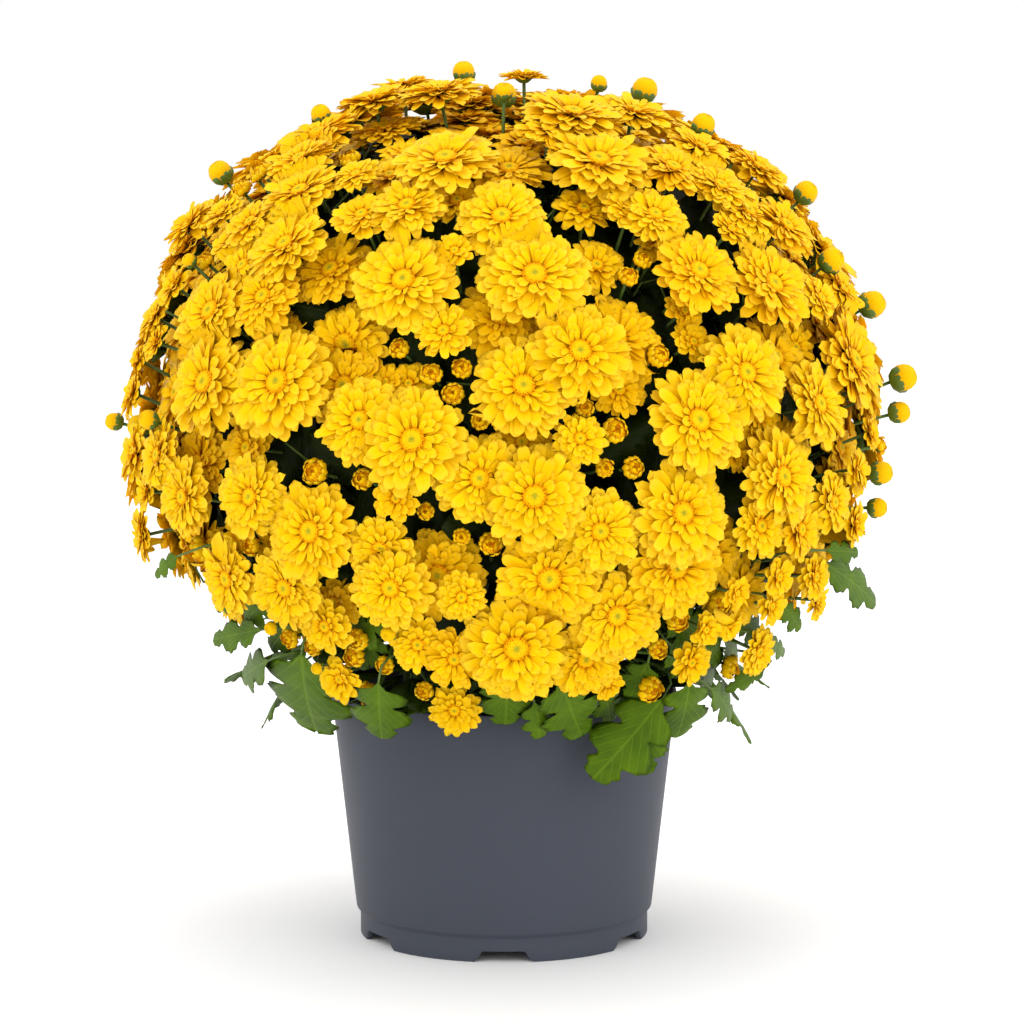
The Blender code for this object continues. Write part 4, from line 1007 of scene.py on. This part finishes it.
def add_rod(green, path, ways, shares, radius, sides, tone=0):
    """A rod round a path, clockwise about its direction. Its radius is scaled by a share at each end."""
    guide = side_axes(ways[0])[0]
    x = unit(guide - (ways @ guide)[:, None] * ways)
    y = np.cross(ways, x)
    angle = -np.linspace(0, math.tau, sides, endpoint=False)
    ring = np.cos(angle)[:, None] * x[:, None] + np.sin(angle)[:, None] * y[:, None]
    radii = np.linspace(*shares, len(path)) * radius
    green.add((path[:, None] + radii[:, None, None] * ring).reshape(1, -1, 3), len(path), tones=(0, tone, 0))


BUD_ROWS = ((0.10, 1.10), (0.42, 1.04), (0.74, 0.82), (0.95, 0.42), (1.0, 0.0), (0.90, -0.35))
BUD_SIDES = 24
BUD_GROOVES = 0.09
HOLLOW_ROWS = ((0.02, 0.02), (0.18, 0.05), (0.50, -0.05), (0.76, -0.22), (0.78, -0.5))
HOLLOW_SIDES = 10
SMALL_RADIUS = 12.5 * MM
FINE_RADIUS = 14 * MM
MEDIUM_RADIUS = 17.5 * MM
front, hidden = set(heads[:listed]), set(lower)


def rings_of(head):
    """A bloom's rings of petals, by its size and by where it is."""
    if head in hidden:
        return LOWER_RINGS
    if head.radius < SMALL_RADIUS:
        return SMALL_RINGS
    if head.radius < MEDIUM_RADIUS:
        return MEDIUM_RINGS
    return LARGE_RINGS if head in front else BACK_RINGS


def form_of(head, k):
    """How finely the petals of a bloom's ring k are drawn: the outer rings of the front ones most."""
    if head in front:
        return LONG if k < 2 and head.radius > FINE_RADIUS else SHORT
    return SHORT if k < 2 and head not in hidden else COARSE


def add_petals(yellow, head, ring, form, layer, age_shade, fade=1.0):
    """One ring of petals, each of a tone of its own. A fade below 1 keeps them darker at their tips,
    as painted shade where a half-open bud's inner ring curls into its hollow.
    """
    points = petals(head, ring, form)
    if head.kind == "bloom":
        points = tucked(points, head)
    tones = np.empty(points.shape)
    tones[..., 0] = dice.uniform(0, 1, (len(points), 1))
    tones[..., 1:] = layer, age_shade
    yellow.add(points, len(form[0]), petal_places(form[0]) * [1, fade], tones, petal_marks(form[0]))


def add_cup(green, head):
    """The wavy cup of bracts below a head. Gives back the middle of its foot, where the stalk ends."""
    rows = CUP_ROWS[head.kind]
    cup = button(head, rows, CUP_SIDES)
    wavy = 1 + CUP_WAVE * np.cos(np.arange(CUP_SIDES) * math.pi)
    axis = head.place + head.facing * ((cup - head.place) @ head.facing)[..., None]
    cup = axis + (cup - axis) * np.tile(wavy, len(rows))[:, None]
    cup = cup.reshape(len(rows), CUP_SIDES, 3)[:, ::-1].reshape(1, -1, 3)
    if head.kind == "bloom":
        cup = tucked(cup, head)
    green.add(cup, len(rows))
    return cup[0, :CUP_SIDES].mean(axis=0)


sprays = [(top, fork, spray) for _, top, group in stems for fork, spray in group]
for n, (top, fork, spray) in enumerate(sprays):
    yellow, green = Gathered(), Gathered()
    way = unit(fork - top)
    for head in spray:
        if head.kind == "bloom":
            rings = rings_of(head)
            for k, ring in enumerate(rings):
                add_petals(yellow, head, ring, form_of(head, k), k / len(rings), age_and_shade[head])
            sides = HIDDEN_SIDES if head in hidden else DISC_SIDES
            yellow.add(tucked(button(head, DISC_ROWS, sides), head), len(DISC_ROWS),
                       ring_places(DISC_ROWS, sides, 0, 1), fill=1)
        elif head.kind == "half":
            # The inner ring is faded darker and the hollow's middle is dark brown: painted shade inside the
            # cup.
            for k, ring in enumerate(HALF_RINGS):
                add_petals(yellow, head, ring, CUPPED, k / 3, 0.3, 1 - 0.3 * k)
            yellow.add(button(head, HOLLOW_ROWS, HOLLOW_SIDES), len(HOLLOW_ROWS),
                       ring_places(HOLLOW_ROWS, HOLLOW_SIDES, 1.0, 0.4), fill=1)
        else:
            turns = np.tile(np.arange(BUD_SIDES) % 2, len(BUD_ROWS))
            middle = head.place + 0.1 * head.radius * head.facing
            ball = button(head, BUD_ROWS, BUD_SIDES) - middle
            yellow.add(middle + ball * (1 - BUD_GROOVES * turns)[:, None], len(BUD_ROWS),
                       ring_places(BUD_ROWS, BUD_SIDES, 0.75, 0.2, turns), (0.5, 0, 0.3))
        neck = add_cup(green, head)
        stalk = bent(fork, neck, way, head.facing, (0.35, 0.45), STALK_STEPS)
        add_rod(green, *stalk, (1.3, 1.0), STALK_RADIUS, STALK_SIDES)
    yellow.piece(f"blooms_{n + 1:02d}", [petal_finish, disc_finish], [f"flower_spray_{n + 1:02d}"], "flower")
    green.piece(f"stalks_{n + 1:02d}", [green_finish], [f"flower_spray_{n + 1:02d}"], "foliage")

# Leafy stems
# A dozen woody green stems stand in the soil, bend outwards and branch to the sprays.
# Lobed leaves grow from them on thin stalks: the fringe over the rim, and many inside.
STEM_RADIUS = 3.2 * MM
BRANCH_RADIUS = 2.2 * MM
STEM_SIDES = 10
BRANCH_SIDES = 8
KNEE_HEIGHT = 168 * MM
STEM_HOLE_DEPTH = 14 * MM
INNER_LEAVES = 600
INNER_DEPTHS = ((22, 30), (32, 44), (48, 62))
INNER_LENGTHS = (36, 54)
INNER_SHADE = 0.15
COLLAR_LEAVES = 110
COLLAR_REACH = (62, 84)
COLLAR_HEIGHTS = (146, 190)
COLLAR_LENGTHS = (28, 42)
COLLAR_SHADE = 0.5
LEAF_WIDTHS = (0.65, 0.85)
LEAF_MATCH = 0.4 * MM
TIP_DIP = 0.12
LEAF_TRIES = ((1, 0), (1, 4), (1, 8), (0.85, 2), (0.85, 8), (0.7, 3), (0.7, 10), (0.55, 6))
LONG_LEAF = ((0, 0.03), (0.08, 0.10), (0.17, 0.38), (0.25, 0.45), (0.33, 0.39), (0.385, 0.22), (0.47, 0.42),
             (0.59, 0.51), (0.69, 0.44), (0.755, 0.20), (0.84, 0.27), (0.92, 0.21), (1.0, 0.0))
WIDE_LEAF = ((0, 0.05), (0.03, 0.16), (0.13, 0.43), (0.23, 0.42), (0.315, 0.26), (0.39, 0.42),
             (0.52, 0.51), (0.64, 0.45), (0.725, 0.23), (0.81, 0.29), (0.91, 0.23), (1.0, 0.0))
# More front leaves, smaller or half hidden, read like those of the fringe, and four that fill gaps.
# They are a little darker, with painted shade from the front blooms.
SMALL_LEAVES = (
    (112, 166, 128, 148, 22), (126, 162, 140, 146, 20), (96, 160, 112, 143, 22), (84, 150, 72, 128, 20),
    (134, 176, 150, 162, 18), (-124, 186, -140, 172, 20), (-112, 172, -126, 156, 20),
    (-96, 150, -86, 130, 20), (-142, 190, -156, 180, 14), (60, 136, 66, 116, 18), (120, 176, 108, 158, 18))
GAP_LEAVES = (
    (-60, 180, -84, 160, 26), (-64, 168, -78, 146, 24), (98, 178, 116, 160, 26), (110, 152, 126, 136, 20))
SMALL_DEPTHS = (16 * MM, 8 * MM)
SMALL_SHADE = 0.85
FINE_ROWS, FINE_COLUMNS = 44, 9
PLAIN_ROWS, PLAIN_COLUMNS = 8, 3
LEAF_THICK = 0.5 * MM
LEAF_SEED = 11

leaf_finish = plain_finish("green_leaf", (0.10, 0.22, 0.045), 0.5, 0.10)
wired(leaf_finish, [
    *PLACE_STEPS, *TONE_STEPS,
    ("aside", "Math", {".operation": "ABSOLUTE"}, {0: ("uv", "X")}),
    ("back", "Math", {".operation": "MULTIPLY", 1: -0.55}, {0: ("aside", 0)}),
    ("slant", "Math", {".operation": "ADD"}, {0: ("uv", "Y"), 1: ("back", 0)}),
    ("many", "Math", {".operation": "MULTIPLY", 1: 7.0}, {0: ("slant", 0)}),
    ("saw", "Math", {".operation": "PINGPONG", 1: 0.5}, {0: ("many", 0)}),
    ranged("side_vein", ("saw", 0), 0.0, 0.09, 1.0, 0.0),
    ranged("mid_vein", ("aside", 0), 0.0, 0.06, 1.0, 0.0),
    ("veins", "Math", {".operation": "MAXIMUM"}, {0: ("side_vein", 0), 1: ("mid_vein", 0)}),
    ("spot", "TexCoord", {}, {}),
    noise("mottle", 70.0, 5.0),
    mixed("tint", ("mottle", "Fac"), (0.018, 0.056, 0.001), (0.120, 0.212, 0.003)),
    ("vein_mask", "Math", {".operation": "MULTIPLY", 1: 0.22}, {0: ("veins", 0)}),
    mixed("veined", ("vein_mask", 0), ("tint", MIX_OUT), (0.27, 0.40, 0.02)),
    # The green of the tone scales the blade's colour: painted shade for leaves inside the plant, under the
    # blooms and behind them.
    ("shaded", "VectorMath", {".operation": "SCALE"}, {0: ("veined", MIX_OUT), "Scale": ("tones", "Green")}),
    ("height", "Math", {".operation": "SUBTRACT"}, {0: ("mottle", "Fac"), 1: ("veins", 0)}),
    relief(0.3, 0.001, ("height", 0)),
], {"Base Color": ("shaded", 0), "Normal": ("bump", 0)})


def leaf_axes(base, tip, facing):
    """A blade's length and its axes: along it, across it and out of its upper side."""
    along = unit(tip - base)
    across = unit(np.cross(facing, along))
    return np.linalg.norm(tip - base), along, across, np.cross(along, across)


def blade(base, tip, width, facing, rows, columns):
    """Points of one leaf blade, (1, rows x ring, 3), and their places.

    The half-width follows the lobes' outline in smooth half waves, with small rounded teeth on it.
    The blade folds up a little from its midrib, sinks to its edges and its tip, and waves.
    """
    length, along, across, up = leaf_axes(base, tip, facing)
    outline = np.array(LONG_LEAF if length > 1.1 * width else WIDE_LEAF)
    v = np.linspace(0, 1, rows)
    place = np.interp(v, outline[:, 0], np.arange(len(outline)))
    k = np.minimum(place.astype(int), len(outline) - 2)
    t = place - k
    half = outline[k, 1] + (outline[k + 1, 1] - outline[k, 1]) * (1 - np.cos(math.pi * t)) / 2
    last = k == len(outline) - 2
    half = np.where(last, outline[-2, 1] * np.sqrt(np.maximum(0, 1 - t ** 2.4)), half)
    if rows == FINE_ROWS:
        half = half * (0.96 + 0.10 * np.abs(np.sin(v * math.pi * 9 + leaf_dice.uniform(0, 3))))
    half[-1] = 0.02
    bend, phase = leaf_dice.uniform(-0.06, 0.06), leaf_dice.uniform(0, 6)
    u, v = np.meshgrid(np.linspace(-1, 1, columns), v)
    w = half[:, None] * u
    # The side lobes reach forward, so a point far from the midrib lies nearer to the tip.
    run = v + 0.16 * np.abs(w) * (1 - v) * eased(v, 0.0, 0.3)
    high = -(0.5 * w * w * width + TIP_DIP * length * v ** 2)
    high = high + 0.10 * np.abs(w) * width * (1 - np.abs(u))
    high = high + 0.02 * width * np.sin(9 * v + 3.0 * u + phase) * np.abs(u)
    top = (base + (run * length)[..., None] * along
           + (w * width + bend * length * v ** 2)[..., None] * across + high[..., None] * up)
    low = top[:, -2:0:-1] - LEAF_THICK * up
    places = np.stack([w * 2, run], axis=-1)
    places = np.concatenate([places, places[:, -2:0:-1]], axis=1)
    return np.concatenate([top, low], axis=1).reshape(1, -1, 3), places.reshape(-1, 2)


def add_leaf(base, tip, width, facing, fine, tone, root=None):
    """A blade with its stalk, from a root point on a stem, or else from the nearest point of any."""
    start, n = root or spine[int(np.argmin(np.linalg.norm(spots - base, axis=1)))]
    rows, columns = (FINE_ROWS, FINE_COLUMNS) if fine else (PLAIN_ROWS, PLAIN_COLUMNS)
    points, places = blade(base, tip, width, facing, rows, columns)
    greens[n].add(points, rows, places, (leaf_dice.uniform(), tone, 0), fill=1)
    stalk = bent(start, base, unit(base - start), unit(tip - base), (0.4, 0.4), 9 if fine else 5)
    add_rod(greens[n], *stalk, (1.1, 0.7), STALK_RADIUS, 5 if fine else 3, 1)


leaf_dice = np.random.default_rng(LEAF_SEED)
greens = [Gathered() for _ in stems]
spine = []
for n, (foot, top, group) in enumerate(stems):
    low = np.array([*foot, SOIL_TOP - STEM_HOLE_DEPTH])
    knee = np.array([*foot, KNEE_HEIGHT])
    first, first_ways = curve(low, low + [0, 0, 0.02], knee - [0, 0, 0.02], knee, 5)
    then, then_ways = bent(knee, top, np.array([0, 0, 1]), unit(top - knee), (0.3, 0.3), 8)
    path, ways = np.concatenate([first, then[1:]]), np.concatenate([first_ways, then_ways[1:]])
    add_rod(greens[n], path, ways, (1.0, 0.8), STEM_RADIUS, STEM_SIDES, 1)
    spine += [(p, n) for p in path[5:]]
    for fork, _ in group:
        path, ways = bent(top, fork, unit(top - knee), unit(fork - top), (0.35, 0.3), 8)
        add_rod(greens[n], path, ways, (1.1, 0.7), BRANCH_RADIUS, BRANCH_SIDES, 1)
        spine += [(p, n) for p in path[1:]]
spots = np.array([p for p, _ in spine])


def to_eye(base):
    """The way that a front leaf's upper side faces: mostly to the eye, and a little outwards."""
    return unit(0.25 * unit(base * [1, 1, 0]) + [0, -1, 0.3])


def small_leaf(across, up, far_across, far_up, width):
    """A small leaf a little behind the front blooms, a little darker with painted shade."""
    base, tip = seen(across, up, SMALL_DEPTHS[0]), seen(far_across, far_up, SMALL_DEPTHS[1])
    add_leaf(base, tip, width * MM, to_eye(base), True, SMALL_SHADE)


# Each listed leaf is on the stem whose solid has a corner at its tip, at the size it has there.
corners_of = {}
for n in range(INNER_STEMS, len(stems)):
    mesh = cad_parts[f"leafy_stem_{n + 1:02d}"].data
    flat = np.empty(3 * len(mesh.vertices))
    mesh.vertices.foreach_get("co", flat)
    corners_of[n] = flat.reshape(-1, 3)
for base, tip, width in wanted_leaves:
    out = unit(base * [1, 1, 0])
    in_front = out[1] < -0.2
    facing = unit(out + [0, TURN_FRONT if in_front else 0, 0.5])
    for scale, shift in LEAF_TRIES:
        start = base + shift * MM * out
        end = start + scale * (tip - base)
        mark = end - TIP_DIP * scale * np.linalg.norm(tip - base) * leaf_axes(start, end, facing)[3]
        owners = [n for n, corners in corners_of.items()
                  if np.linalg.norm(corners - mark, axis=1).min() < LEAF_MATCH]
        if owners:
            knee = np.array([*stems[owners[0]][0], KNEE_HEIGHT])
            add_leaf(start, end, scale * width, to_eye(base) if in_front else facing, True, 1.0,
                     (knee, owners[0]))
            break
for leaf in SMALL_LEAVES:
    small_leaf(*leaf)

# The leaves inside stand in three layers under the blooms, off the nearest branch. They are
# painted very dark, as painted shade deep inside the plant.
for k in range(INNER_LEAVES):
    surface = dome_point(spiral(k, INNER_LEAVES, 1.55))
    outward = dome_normal(surface)
    base = surface - leaf_dice.uniform(*INNER_DEPTHS[k % 3]) * MM * outward
    facing = unit(outward + leaf_dice.normal(0, 0.3, 3))
    way = unit(np.cross(facing, leaf_dice.normal(0, 1, 3)))
    length = leaf_dice.uniform(*INNER_LENGTHS) * MM
    base = base - 0.5 * length * way
    tip = base + length * way
    if base[2] > POT_HEIGHT + 12 * MM and tip[2] > POT_HEIGHT + 8 * MM:
        add_leaf(base, tip, length * leaf_dice.uniform(*LEAF_WIDTHS), facing, False, INNER_SHADE)

# More leaves hang out from the stems' knees in a collar between the pot's rim and the blooms,
# painted half as bright, as painted shade under the blooms.
for k in range(COLLAR_LEAVES):
    angle = math.tau * (k + leaf_dice.uniform(-0.4, 0.4)) / COLLAR_LEAVES
    out, side = ways_round(angle)
    base = leaf_dice.uniform(*COLLAR_REACH) * MM * out + [0, 0, leaf_dice.uniform(*COLLAR_HEIGHTS) * MM]
    way = unit(out + leaf_dice.normal(0, 0.5) * side + [0, 0, leaf_dice.uniform(-0.35, 0.1)])
    length = leaf_dice.uniform(*COLLAR_LENGTHS) * MM
    facing = unit([0, 0, 1] + 0.6 * out + leaf_dice.normal(0, 0.3, 3))
    add_leaf(base, base + length * way, length * leaf_dice.uniform(*LEAF_WIDTHS), facing, False, COLLAR_SHADE)
for leaf in GAP_LEAVES:
    small_leaf(*leaf)
for n, green in enumerate(greens):
    green.piece(f"foliage_{n + 1:02d}", [green_finish, leaf_finish], [f"leafy_stem_{n + 1:02d}"], "foliage")

# The box of everything shown but the floor, lowest and highest corners in metres.
low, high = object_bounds()
